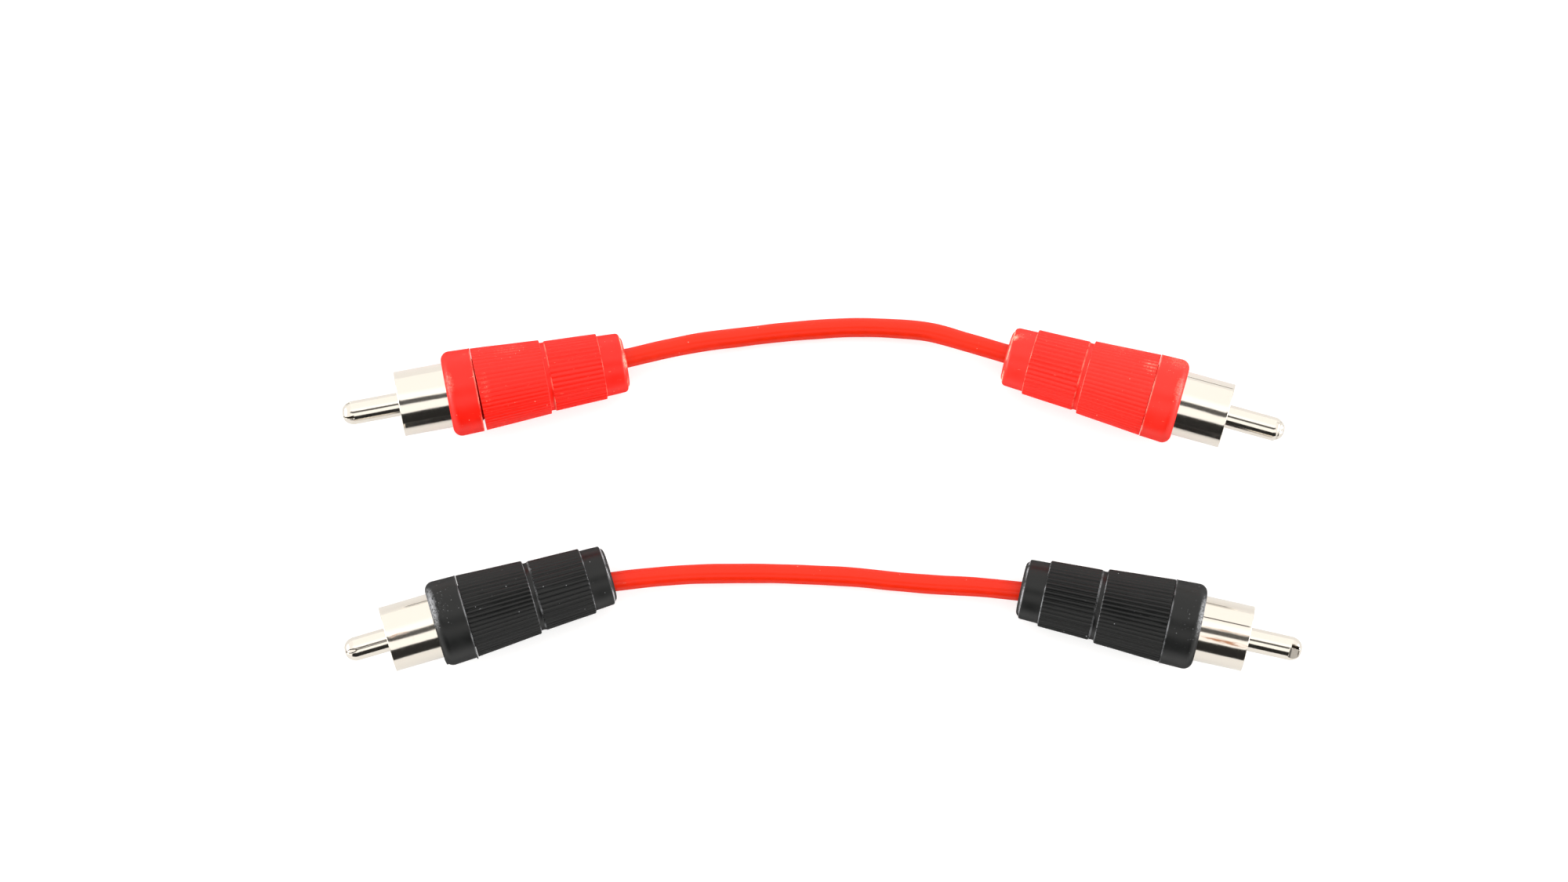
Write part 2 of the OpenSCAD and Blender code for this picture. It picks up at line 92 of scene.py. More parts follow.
@dataclass(frozen=True)
class PlugSizes:
    """Sizes of one phono plug, in millimetres, with radii where a piece is round."""

    # As in the construction.
    pin_r: float = 1.6
    pin_out: float = 7.95
    nose_len: float = 1.4
    nose_tip_r: float = 0.55
    shank_r: float = 1.1
    shank_tail: float = 4.0
    cup_r: float = 0.75
    cup_depth: float = 2.2
    sleeve_r: float = 4.45
    sleeve_wall: float = 0.35
    sleeve_out: float = 6.55
    sleeve_base: float = 0.4
    insulator_t: float = 1.6
    bush_r: float = 1.85
    collar_r: float = 5.85
    collar_rear_r: float = 5.75
    collar_len: float = 4.1
    collar_round: float = 1.2
    collar_floor: float = 1.0
    spigot_r: float = 4.3
    spigot_wall: float = 1.1
    spigot_len: float = 5.0
    band1_r: float = 5.7
    band1_rear_r: float = 5.12
    band1_len: float = 9.0
    band1_ribs: int = 56
    ring_r: float = 4.72
    ring_len: float = 0.7
    band2_r: float = 4.86
    band2_rear_r: float = 4.55
    band2_len: float = 7.1
    band2_ribs: int = 44
    neck_r: float = 4.2
    neck_rear_r: float = 4.1
    neck_len: float = 3.1
    neck_round: float = 0.6
    boss_r: float = 3.45
    boss_len: float = 0.25
    cable_hole_r: float = 2.7
    screw_depth: float = 7.0
    room_r: float = 3.5
    end_wall: float = 1.2
    cable_r: float = 1.35
    tag_t: float = 0.4
    clamp_offset: float = 0.75
    clamp_from: float = 12.5
    clamp_len: float = 3.0
    shield_r: float = 0.25
    shield_solder_at: float = 7.6
    slip_gap: float = 0.05
    press_gap: float = 0.02
    screw_gap: float = 0.1

    # Finer than the construction: ribs, rounds, threads and seams.
    rib1_depth: float = 0.1
    rib2_depth: float = 0.12
    rib1_flat: float = 1.3
    rib2_flat: float = 1.2
    edge_round: float = 0.1
    base_round: float = 0.3
    front_edge: float = 0.08
    rear_flat: float = 0.35
    thread_pitch: float = 0.8
    thread_depth: float = 0.22
    bore_thread: float = 0.06
    bore_relief: float = 0.1
    seam_width: float = 1.1

    # How much slimmer the jacket is than its solid, inside whose box it stays.
    skin_gap: float = 0.03

    @property
    def neck_from(self) -> float:
        """How far behind its front the screw cap's neck starts."""
        return self.band1_len + self.ring_len + self.band2_len

    @property
    def cap_len(self) -> float:
        """Length of the screw cap."""
        return self.neck_from + self.neck_len + self.boss_len

    @property
    def sleeve_front(self) -> float:
        """Where the ground sleeve ends."""
        return self.collar_len + self.sleeve_out

    @property
    def base_at(self) -> float:
        """Where the ground sleeve's base starts."""
        return self.collar_floor + self.tag_t

    @property
    def face_at(self) -> float:
        """Where the insulator's front face lies."""
        return self.base_at + self.sleeve_base + self.insulator_t

    @property
    def arm_inner(self) -> float:
        """Distance of the ground tag's arm from the plug's axis."""
        return self.clamp_offset + self.cable_r + self.slip_gap


SIZES: dict[Shell, PlugSizes] = {
    Shell.RED: PlugSizes(),
    Shell.BLACK: PlugSizes(collar_len=4.4, neck_len=2.75, neck_round=0.25, boss_r=3.8,
                           boss_len=0.45, rib1_depth=0.16, rib2_depth=0.18),
}


@dataclass(frozen=True)
class MarkAndHighlight:
    """One patch of marks or painted highlight on a plug's plastic, or of stains or painted
    reflection on its metal.

    Attributes:
        s: Middle along the plug, in mm.
        turn: Middle round the axis, in degrees from straight up.
        r: Radius at which it lies, in mm.
        along: Half its length.
        across: Half its width.
        amount: How much of the patch is marked.
        grain: Scale of its grain.
    """

    s: float
    turn: float
    r: float
    along: float
    across: float
    amount: float = 0.5
    grain: float = 5.0

    @property
    def middle(self) -> Point:
        """Its middle in the plug's frame."""
        turn = math.radians(self.turn)
        return (self.s, self.r * math.sin(turn), self.r * math.cos(turn))

    def mask(self, graph: Graph, tree: bpy.types.NodeTree, place: Socket) -> Socket:
        """Masks the patch in a material.

        Args:
            graph: The material's graph.
            tree: The shared effect that draws it.
            place: Coordinates in the plug's frame.

        Returns:
            The mask.
        """
        half = (self.along, self.across, self.across)
        values = {"Vector": place, "Middle": self.middle, "Half Size": half,
                  "Amount": self.amount, "Grain": self.grain}
        return graph.node("ShaderNodeGroup", values, node_tree=tree).outputs["Mask"]


@dataclass(frozen=True)
class Nib:
    """A small bit of plastic left on a moulding, or a dent in it.

    Attributes:
        s: Place along the plug, in mm.
        turn: Place round the axis, in degrees from straight up.
        r: Radius above which the moulding carries it, in mm.
        height: How far it stands out, below 0 for a dent.
        width: Its half width.
    """

    s: float
    turn: float
    r: float
    height: float = 0.3
    width: float = 0.14

    def rise(self, a: np.ndarray, s: np.ndarray, r: np.ndarray) -> np.ndarray:
        """Gives how far a turned piece stands out here.

        Args:
            a: Angle of each point.
            s: Its place along the plug.
            r: Its radius.

        Returns:
            The height at each point.
        """
        across = angle_from(a, self.turn) * r / self.width
        along = (s - self.s) / self.width
        return self.height * np.exp(-(across**2) - along**2) * (r > self.r)


@dataclass(frozen=True)
class Cut:
    """A split, crease or seam in a pin's rolled sheet.

    Attributes:
        turn: Place round the axis, in degrees from straight up.
        start: Where it starts along the plug, in mm.
        end: Where it ends.
        half: Half its width at its start.
        taper: Half its width at its end.
        depth: How deep it is.
        dark: How dark it is inside, from 0 to 1.
        leaf: Half the width of the leaf that it outlines, or 0 for a plain cut.
    """

    turn: float
    start: float
    end: float
    half: float
    taper: float
    depth: float
    dark: float = 1.0
    leaf: float = 0.0


@dataclass(frozen=True)
class PlugSpot:
    """Where one plug lies, and what is particular to it.

    Attributes:
        name: Start of the names of its nodes and pieces.
        shell: Colour of its plastic.
        hole: Where the middle of its cable hole lies on the table, x and y in mm.
        yaw: Way that its pin points, in degrees from +X.
        gap: Gap between collar and cap, in mm.
        pin_in: How deep the pin is pushed in, in mm.
        tag_turn: Turn of the ground tag round the axis from straight below, in degrees.
        cable_shift: Sideways move of the cable between clamp and hole, in mm.
        nose: Form of the pin's nose.
        seams: Seams of the ground sleeve: angle in degrees, where each starts and ends, its depth.
        cuts: Splits, creases and seams of its pin.
        seed: Offset of every random pattern on this plug.
        scuffs: Its patches of marks, and of highlights painted on its plastic.
        near_turn: Side on which a loose cap comes nearest to the collar, in degrees.
        streaks: Streaks on its sleeve: stains, and on the black right plug also a painted
            reflection.
        nibs: Bits of plastic left on its collar and cap, and dents in them.
        rib_share: Depth of each band's ribs, as a part of the usual depth.
        fade: How far its plastic has faded towards the pale colour of its marks.
    """

    name: str
    shell: Shell
    hole: tuple[float, float]
    yaw: float
    gap: float
    pin_in: float
    tag_turn: float
    cable_shift: float
    nose: Nose
    seams: tuple[tuple[float, float, float, float], ...]
    cuts: tuple[Cut, ...]
    seed: float
    scuffs: tuple[MarkAndHighlight, ...] = ()
    near_turn: float = -80
    streaks: tuple[MarkAndHighlight, ...] = ()
    nibs: tuple[Nib, ...] = ()
    rib_share: tuple[float, float] = (1.0, 1.0)
    fade: float = 0.0

    @property
    def size(self) -> PlugSizes:
        """The sizes of a plug of its colour."""
        return SIZES[self.shell]

    @property
    def tilt(self) -> float:
        """Angle in radians by which the pin points upwards.

        Returns:
            The smaller of the angles at which collar and first or second band touch the table.
        """
        z = self.size
        return min(
            math.atan((z.collar_rear_r - z.band1_rear_r) / (self.gap + z.band1_len)),
            math.atan((z.collar_rear_r - z.band2_rear_r) / (self.gap + z.neck_from)),
        )

    @property
    def reach(self) -> float:
        """Distance from s = 0 to the cable hole's mouth."""
        return self.gap + self.size.cap_len

    def matrix(self) -> Matrix:
        """Gives the turn and move from this plug's frame, in mm, to the table's, in mm.

        Returns:
            The four by four matrix.
        """
        z = self.size
        rims = ((z.collar_rear_r, 0.0), (z.collar_r, z.collar_len - z.collar_round))
        cos, sin = math.cos(self.tilt), math.sin(self.tilt)
        height = max(r * cos - (self.reach + s) * sin for r, s in rims)
        place = Matrix.Translation((self.hole[0], self.hole[1], height))
        turn = Matrix.Rotation(math.radians(self.yaw), 4, "Z") @ Matrix.Rotation(-self.tilt, 4, "Y")
        return place @ turn @ Matrix.Translation((self.reach, 0, 0))

    def cable_point(self, s: float, share: float) -> Vector:
        """Gives the middle of the cable inside the plug.

        Args:
            s: Place along the plug.
            share: Part of the sideways move that the cable has made there.

        Returns:
            The point on the table's frame, in mm.
        """
        turn = math.radians(self.tag_turn)
        side = self.size.clamp_offset * math.sin(turn) + self.cable_shift * share
        return self.matrix() @ Vector((s, side, -self.size.clamp_offset * math.cos(turn)))


PLUGS: tuple[PlugSpot, ...] = (
    PlugSpot(
        name="red_left", shell=Shell.RED, hole=(-26.35, 18.85), yaw=191.5, gap=0.4, pin_in=0.2,
        tag_turn=-48, cable_shift=0, nose=Nose.ROUND, seams=(), seed=1.3, rib_share=(0.7, 1.3),
        cuts=(
            Cut(35, 17.0, 18.35, 0.17, 0.03, 0.4),
            Cut(-52, 17.2, 17.75, 0.1, 0.05, 0.3),
            Cut(125, 17.0, 18.3, 0.12, 0.03, 0.3),
            Cut(-145, 17.0, 18.3, 0.12, 0.03, 0.3),
            Cut(125, 6.0, 17.0, 0.04, 0.04, 0.03, 0.6),
        ),
        scuffs=(
            MarkAndHighlight(-20.35, 8, 3.7, 0.5, 1.8, 1.9, 6.0),
            MarkAndHighlight(-1.2, 12, 5.6, 1.3, 4.2, 0.34, 5.0),
            # Painted highlight, speckled, on the collar's front round.
            MarkAndHighlight(3.5, -5, 5.5, 1.0, 2.8, 0.55, 7.0),
            # Pale smear over the top of band 1: partly frosted wear, partly painted sheen.
            MarkAndHighlight(-5.0, -50, 5.4, 5.0, 3.0, 0.3, 5.0),
        ),
    ),
    PlugSpot(
        name="red_right", shell=Shell.RED, hole=(25.75, 19.75), yaw=-16.5, gap=0.1, pin_in=0.0,
        tag_turn=26, cable_shift=0, nose=Nose.CRIMPED, seams=((46.4, 4.1, 10.65, 0.05),), seed=7.9,
        rib_share=(1.1, 1.7), fade=0.022,
        cuts=(
            Cut(27, 17.3, 18.0, 0.04, 0.03, 0.08, 0.4),
            Cut(-90, 17.3, 18.5, 0.06, 0.03, 0.2),
            Cut(180, 17.3, 18.5, 0.06, 0.03, 0.2),
            Cut(140, 6.0, 17.3, 0.04, 0.04, 0.03, 0.6),
        ),
        scuffs=(
            MarkAndHighlight(-19.75, 31, 4.0, 0.75, 0.9, 2.6, 6.0),
            MarkAndHighlight(-1.0, 32, 5.5, 1.9, 2.0, 0.7, 3.4),
            MarkAndHighlight(-19.0, 36, 4.2, 1.2, 1.4, 0.4, 7.0),
            # Painted highlight, speckled, on the collar's front round.
            MarkAndHighlight(3.5, 8, 5.5, 1.0, 3.0, 0.6, 7.0),
            # Painted highlight over the collar's upper side.
            MarkAndHighlight(2.4, 66, 5.8, 3.4, 5.2, 0.44, 6.0),
            # Pale smear over the top of band 1: partly frosted wear, partly painted sheen.
            MarkAndHighlight(-5.0, 70, 5.4, 6.0, 3.4, 0.34, 5.0),
        ),
        nibs=(Nib(-19.95, 38, 3.6, -0.3, 0.45), Nib(-19.8, 26, 3.9, -0.14, 0.3)),
    ),
    PlugSpot(
        name="black_left", shell=Shell.BLACK, hole=(-28.2, -10.3), yaw=197, gap=0.1, pin_in=2.1,
        tag_turn=60, cable_shift=0.4, nose=Nose.ROUND, seams=((-45.9, 4.4, 7.2, 0.05),), seed=13.2,
        rib_share=(1.3, 1.1),
        cuts=(
            Cut(13.2, 5.0, 15.2, 0.04, 0.04, 0.008, 1.0),
            Cut(13.2, 15.15, 16.72, 0.045, 0.045, 0.1, 1.0, 0.25),
            Cut(104, 15.5, 16.6, 0.05, 0.03, 0.2),
            Cut(-76, 15.5, 16.6, 0.05, 0.03, 0.2),
        ),
        scuffs=(
            # Painted highlight, speckled, on the collar's front round.
            MarkAndHighlight(4.1, -24, 5.2, 1.0, 4.8, 1.5, 8.0),
            # Painted sheen, speckled, over the middle of the collar.
            MarkAndHighlight(2.9, -15, 5.8, 2.2, 5.0, 0.17, 6.0),
        ),
        streaks=(MarkAndHighlight(9.4, 5, 4.45, 1.9, 0.34, 0.8, 5.0),),
        nibs=(Nib(4.25, 92, 4.6), Nib(0.05, 101, 5.4, 0.25, 0.12)),
    ),
    PlugSpot(
        name="black_right", shell=Shell.BLACK, hole=(27.3, -12.2), yaw=-13.2, gap=0.1, pin_in=0.7,
        tag_turn=0, cable_shift=-0.35, nose=Nose.FACETED,
        seams=((45.9, 4.4, 7.2, 0.04), (13.9, 4.4, 10.95, 0.05)), seed=21.7, rib_share=(1.35, 1.4),
        cuts=(
            Cut(6.7, 16.75, 17.75, 0.17, 0.15, 0.5),
            Cut(97, 16.8, 18.0, 0.1, 0.04, 0.3),
            Cut(187, 16.8, 18.0, 0.1, 0.04, 0.3),
            Cut(160, 6.0, 16.8, 0.04, 0.04, 0.03, 0.6),
        ),
        scuffs=(
            # Painted highlight, speckled, on the collar's front round.
            MarkAndHighlight(4.25, 14, 5.2, 0.75, 4.4, 1.7, 8.0),
            # Painted sheen, speckled, over the middle of the collar.
            MarkAndHighlight(2.6, 0, 5.8, 2.6, 5.5, 0.12, 6.0),
        ),
        streaks=(
            # Copper-brown strip along the sleeve's near side: a painted reflection.
            MarkAndHighlight(7.6, -21, 4.45, 4.8, 0.42, 1.0, 4.0),
            MarkAndHighlight(8.0, -3, 4.45, 4.4, 0.22, 0.6, 4.0),
        ),
    ),
)

# Points of each cable's free run, in metres.
RED_RUN: tuple[Point, ...] = (
    (-0.0211, 0.0208, 0.0032), (-0.0159, 0.022, 0.0023), (-0.0107, 0.0228, 0.0016),
    (-0.0055, 0.02347, 0.0014), (-0.0003, 0.02393, 0.0014), (0.0049, 0.0242, 0.0014),
    (0.0101, 0.02403, 0.0016), (0.0153, 0.0234, 0.0022), (0.0205, 0.0218, 0.003),
)
BLACK_RUN: tuple[Point, ...] = (
    (-0.02245, -0.0106, 0.0033), (-0.01695, -0.0101, 0.0024), (-0.01145, -0.0099, 0.0016),
    (-0.00595, -0.0099, 0.0014), (-0.00045, -0.0101, 0.0014), (0.00505, -0.0104, 0.0014),
    (0.01055, -0.011, 0.0016), (0.01605, -0.0115, 0.0021), (0.02155, -0.0119, 0.0029),
)


# --------------------------------------------------------------------------- shader nodes


class Graph:
    """A node tree that is written as calls."""

    def __init__(self, tree: bpy.types.NodeTree) -> None:
        """Starts an empty tree.

        Args:
            tree: The tree to fill.
        """
        self.tree = tree
        self.tree.nodes.clear()

    def node(self, kind: str, values: Mapping[str | int, object] | None = None,
             **settings: object) -> bpy.types.Node:
        """Adds a node.

        Args:
            kind: Its type's name.
            values: For each input's name or index, a constant or another node's output socket.
            **settings: Its own properties.

        Returns:
            The node.
        """
        made = self.tree.nodes.new(kind)
        for key, value in settings.items():
            setattr(made, key, value)
        for key, value in (values or {}).items():
            self.feed(made.inputs[key], value)
        return made

    def feed(self, socket: Socket, value: object) -> None:
        """Links a socket, or sets its constant.

        Args:
            socket: The input.
            value: An output socket or a constant.
        """
        if isinstance(value, Socket):
            self.tree.links.new(value, socket)
        else:
            socket.default_value = value

    def math(self, operation: str, *values: object, clamp: bool = False) -> Socket:
        """Adds a Math node.

        Args:
            operation: Its operation.
            *values: Its inputs in order.
            clamp: Whether its result stays between 0 and 1.

        Returns:
            Its output.
        """
        settings = {"operation": operation, "use_clamp": clamp}
        return self.node("ShaderNodeMath", dict(enumerate(values)), **settings).outputs[0]

    def plus(self, a: object, b: object, clamp: bool = False) -> Socket:
        """Adds two values."""
        return self.math("ADD", a, b, clamp=clamp)

    def minus(self, a: object, b: object, clamp: bool = False) -> Socket:
        """Subtracts the second value from the first."""
        return self.math("SUBTRACT", a, b, clamp=clamp)

    def times(self, a: object, b: object, clamp: bool = False) -> Socket:
        """Multiplies two values."""
        return self.math("MULTIPLY", a, b, clamp=clamp)

    def larger(self, a: object, b: object, clamp: bool = False) -> Socket:
        """Gives the larger of two values."""
        return self.math("MAXIMUM", a, b, clamp=clamp)

    def vector(self, operation: str, *values: object) -> Socket:
        """Adds a Vector Math node and gives its vector."""
        made = self.node("ShaderNodeVectorMath", dict(enumerate(values)), operation=operation)
        return made.outputs[0]

    def measure(self, operation: str, *values: object) -> Socket:
        """Adds a Vector Math node and gives its number, such as a length."""
        made = self.node("ShaderNodeVectorMath", dict(enumerate(values)), operation=operation)
        return made.outputs["Value"]

    def scaled(self, vector: object, factor: object) -> Socket:
        """Multiplies a vector by a number.

        Args:
            vector: The vector.
            factor: The number.

        Returns:
            The result.
        """
        made = self.node("ShaderNodeVectorMath", {0: vector}, operation="SCALE")
        self.feed(made.inputs["Scale"], factor)
        return made.outputs[0]

    def step(self, value: object, low: float, high: float, to_low: float = 0.0,
             to_high: float = 1.0) -> Socket:
        """Maps a value from one range to another with a smooth ramp.

        Args:
            value: The value.
            low: Value that gives to_low.
            high: Value that gives to_high.
            to_low: Result at low.
            to_high: Result at high.

        Returns:
            The result.
        """
        values = {"Value": value, "From Min": low, "From Max": high,
                  "To Min": to_low, "To Max": to_high}
        return self.node("ShaderNodeMapRange", values, interpolation_type="SMOOTHSTEP").outputs[0]

    def noise(self, vector: object, scale: object, detail: float = 2.0, roughness: float = 0.5,
              distortion: float = 0.0) -> Socket:
        """Adds a noise.

        Args:
            vector: Its coordinates.
            scale: Its scale, in cells a millimetre.
            detail: Its octaves.
            roughness: Weight of the finer octaves.
            distortion: How far its lines are bent.

        Returns:
            Its value.
        """
        values = {"Vector": vector, "Scale": scale, "Detail": detail, "Roughness": roughness,
                  "Distortion": distortion}
        return self.node("ShaderNodeTexNoise", values).outputs[0]

    def cells(self, vector: object, scale: object) -> tuple[Socket, list[Socket]]:
        """Adds scattered cells.

        Args:
            vector: Their coordinates.
            scale: Their scale, in cells a millimetre.

        Returns:
            The distance from each cell's middle, and three random values of the cell.
        """
        values = {"Vector": vector, "Scale": scale, "Randomness": 1.0}
        made = self.node("ShaderNodeTexVoronoi", values, feature="F1").outputs
        split = self.node("ShaderNodeSeparateColor", {"Color": made["Color"]})
        return made["Distance"], list(split.outputs)

    def held(self, name: str) -> Socket:
        """Reads a value that the mesh holds, in a material."""
        return self.node("ShaderNodeAttribute", attribute_name=name).outputs["Fac"]

    def point_value(self, name: str) -> Socket:
        """Reads a value that the mesh holds, in a geometry tree."""
        made = self.node("GeometryNodeInputNamedAttribute", {"Name": name}, data_type="FLOAT")
        return made.outputs[0]

    def use(self, tree: bpy.types.NodeTree, **values: object) -> Mapping[str, Socket]:
        """Places a shader node group with values for its named inputs, and gives its outputs."""
        return self.node("ShaderNodeGroup", values, node_tree=tree).outputs

    def bump(self, height: Socket, strength: float) -> Socket:
        """Turns a height in millimetres into a normal."""
        values = {"Height": height, "Strength": strength, "Distance": MM}
        return self.node("ShaderNodeBump", values).outputs[0]

    def blend(self, share: object, low: object, high: object) -> Socket:
        """Mixes two colours.

        Args:
            share: Part of the second colour.
            low: First colour.
            high: Second colour.

        Returns:
            The mixed colour.
        """
        # The node's share stands at 0, its two colours at 6 and 7, and the mixed colour at 2.
        values = {0: share, 6: low, 7: high}
        return self.node("ShaderNodeMix", values, data_type="RGBA").outputs[2]


def effect(name: str, inputs: Mapping[str, float | None], outputs: Sequence[str],
           build: Callable[[Graph, Mapping[str, Socket]], dict[str, Socket]]) -> bpy.types.NodeTree:
    """Builds a shader node group.

    Args:
        name: Its name.
        inputs: Default of each named input, or None for a vector.
        outputs: Names of its outputs, which are values.
        build: Fills it and gives the socket for each output.

    Returns:
        The group.
    """
    tree = bpy.data.node_groups.new(name, "ShaderNodeTree")
    graph = Graph(tree)
    for label, value in inputs.items():
        kind = "NodeSocketVector" if value is None else "NodeSocketFloat"
        made = tree.interface.new_socket(name=label, in_out="INPUT", socket_type=kind)
        if value is not None:
            made.default_value = value
    for label in outputs:
        tree.interface.new_socket(name=label, in_out="OUTPUT", socket_type="NodeSocketFloat")
    graph.node("NodeGroupOutput", build(graph, graph.node("NodeGroupInput").outputs))
    return tree


class Effects:
    """Shader effects that several materials share, each built once."""

    def __init__(self) -> None:
        """Builds every group."""
        mask = ("Mask",)
        patch = {"Vector": None, "Middle": None, "Half Size": None, "Amount": 0.5, "Grain": 5.0}
        specks = {"Vector": None, "Scale": 1.0, "Size": 0.1, "Share": 0.5}
        wear_and_highlight = {"Vector": None, "Edge": 0.0, "Grain": 6.0, "Amount": 0.5}
        scratches = {"Vector": None, "Scale": 1.0, "Share": 0.4}
        moulding = {"Vector": None, "Fine": 9.0, "Broad": 0.7}
        self.specks = effect("specks", specks, mask, self._specks)
        self.wear_and_highlight = effect("edge_wear_and_highlight", wear_and_highlight, mask, self._wear_and_highlight)
        self.scratches = effect("scratches", scratches, mask, self._scratches)
        self.scuff = effect("scuff", patch, mask, self._scuff)
        self.streak = effect("streak", patch, mask, self._streak)
        self.moulding = effect("moulding", moulding, ("Height", "Shade"), self._moulding)

    @staticmethod
    def _specks(graph: Graph, given: Mapping[str, Socket]) -> dict[str, Socket]:
        """Scatters small round specks.

        Args:
            graph: The group's tree.
            given: Its inputs.

        Returns:
            The mask.
        """
        least = 0.3
        distance, (pick, spread, _) = graph.cells(given["Vector"], given["Scale"])
        size = graph.times(given["Size"], graph.plus(spread, least))
        inside = graph.math("LESS_THAN", distance, size)
        chosen = graph.math("LESS_THAN", pick, given["Share"])
        return {"Mask": graph.times(inside, chosen)}

    @staticmethod
    def _wear_and_highlight(graph: Graph, given: Mapping[str, Socket]) -> dict[str, Socket]:
        """Breaks an edge's mask up with grain.

        Args:
            graph: The group's tree.
            given: Its inputs.

        Returns:
            The mask.
        """
        fine_part, broad_part, broad_scale, bar, gain = 0.6, 0.9, 0.55, 1.25, 4.0
        fine = graph.noise(given["Vector"], given["Grain"], 4.0, 0.7)
        broad = graph.noise(given["Vector"], broad_scale, 1.0)
        grain = graph.plus(graph.times(fine, fine_part), graph.times(broad, broad_part))
        over = graph.minus(grain, graph.minus(bar, given["Amount"]))
        broken = graph.times(over, gain, clamp=True)
        return {"Mask": graph.times(broken, given["Edge"], clamp=True)}

    @staticmethod
    def _far(graph: Graph, given: Mapping[str, Socket]) -> Socket:
        """Gives the distance from a patch's middle, which is 1 at its rim.

        Args:
            graph: The group's tree.
            given: Its inputs.

        Returns:
            The distance.
        """
        apart = graph.vector("SUBTRACT", given["Vector"], given["Middle"])
        return graph.measure("LENGTH", graph.vector("DIVIDE", apart, given["Half Size"]))

    @classmethod
    def _scuff(cls, graph: Graph, given: Mapping[str, Socket]) -> dict[str, Socket]:
        """Draws a ragged patch round one point with dots and a faint smear, for rubbed marks and
        painted highlights.

        Args:
            graph: The group's tree.
            given: Its inputs.

        Returns:
            The mask.
        """
        share = graph.times(graph.step(cls._far(graph, given), 1.0, 0.0), given["Amount"])
        grain = graph.noise(given["Vector"], 3.0, 5.0, 0.8)
        uneven = graph.times(share, graph.step(grain, 0.36, 0.6, 0.1, 1.3))
        distance, (pick, spread, tone) = graph.cells(given["Vector"], given["Grain"])
        least, widest = 0.4, 0.42
        size = graph.times(graph.plus(spread, least), widest)
        dot = graph.step(distance, 0.5, 0.0)
        inside = graph.math("GREATER_THAN", dot, graph.minus(1.0, size))
        chosen = graph.math("LESS_THAN", pick, graph.times(uneven, 1.2))
        strength = graph.step(tone, 0.0, 1.0, 0.35, 1.0)
        dots = graph.times(graph.times(inside, chosen), strength)
        smear_from, smear_part = 0.15, 0.5
        smear = graph.times(graph.minus(uneven, smear_from), smear_part, clamp=True)
        return {"Mask": graph.larger(dots, smear, clamp=True)}

    @classmethod
    def _streak(cls, graph: Graph, given: Mapping[str, Socket]) -> dict[str, Socket]:
        """Draws uneven lines along the plug round one point.

        Args:
            graph: The group's tree.
            given: Its inputs.

        Returns:
            The mask.
        """
        stretch = (0.12, 1.0, 1.0)
        drawn = graph.vector("MULTIPLY", given["Vector"], stretch)
        grain = graph.step(graph.noise(drawn, given["Grain"], 3.0, 0.6), 0.38, 0.6, 0.15, 1.0)
        share = graph.times(graph.step(cls._far(graph, given), 1.0, 0.25), grain)
        return {"Mask": graph.times(share, given["Amount"], clamp=True)}

    @staticmethod
    def _scratches(graph: Graph, given: Mapping[str, Socket]) -> dict[str, Socket]:
        """Draws short thin marks that lie mostly along the plug.

        Args:
            graph: The group's tree.
            given: Its inputs.

        Returns:
            The mask.
        """
        stretch, patch_scale = (0.5, 2.2, 2.2), 0.6
        drawn = graph.vector("MULTIPLY", given["Vector"], stretch)
        line = graph.step(graph.noise(drawn, given["Scale"], 6.0, 0.72, 0.4), 0.64, 0.7)
        where = graph.noise(given["Vector"], patch_scale, 1.0)
        return {"Mask": graph.times(line, graph.math("LESS_THAN", where, given["Share"]))}

    @staticmethod
    def _moulding(graph: Graph, given: Mapping[str, Socket]) -> dict[str, Socket]:
        """Gives moulded plastic its fine skin and its broad unevenness.

        Args:
            graph: The group's tree.
            given: Its inputs.

        Returns:
            A height in millimetres and a shade between 0 and 1.
        """
        fine_height, broad_height = 0.02, 0.05
        fine = graph.noise(given["Vector"], given["Fine"], 3.0, 0.6)
        broad = graph.noise(given["Vector"], given["Broad"], 3.0, 0.5)
        height = graph.plus(graph.times(fine, fine_height), graph.times(broad, broad_height))
        return {"Height": height, "Shade": broad}


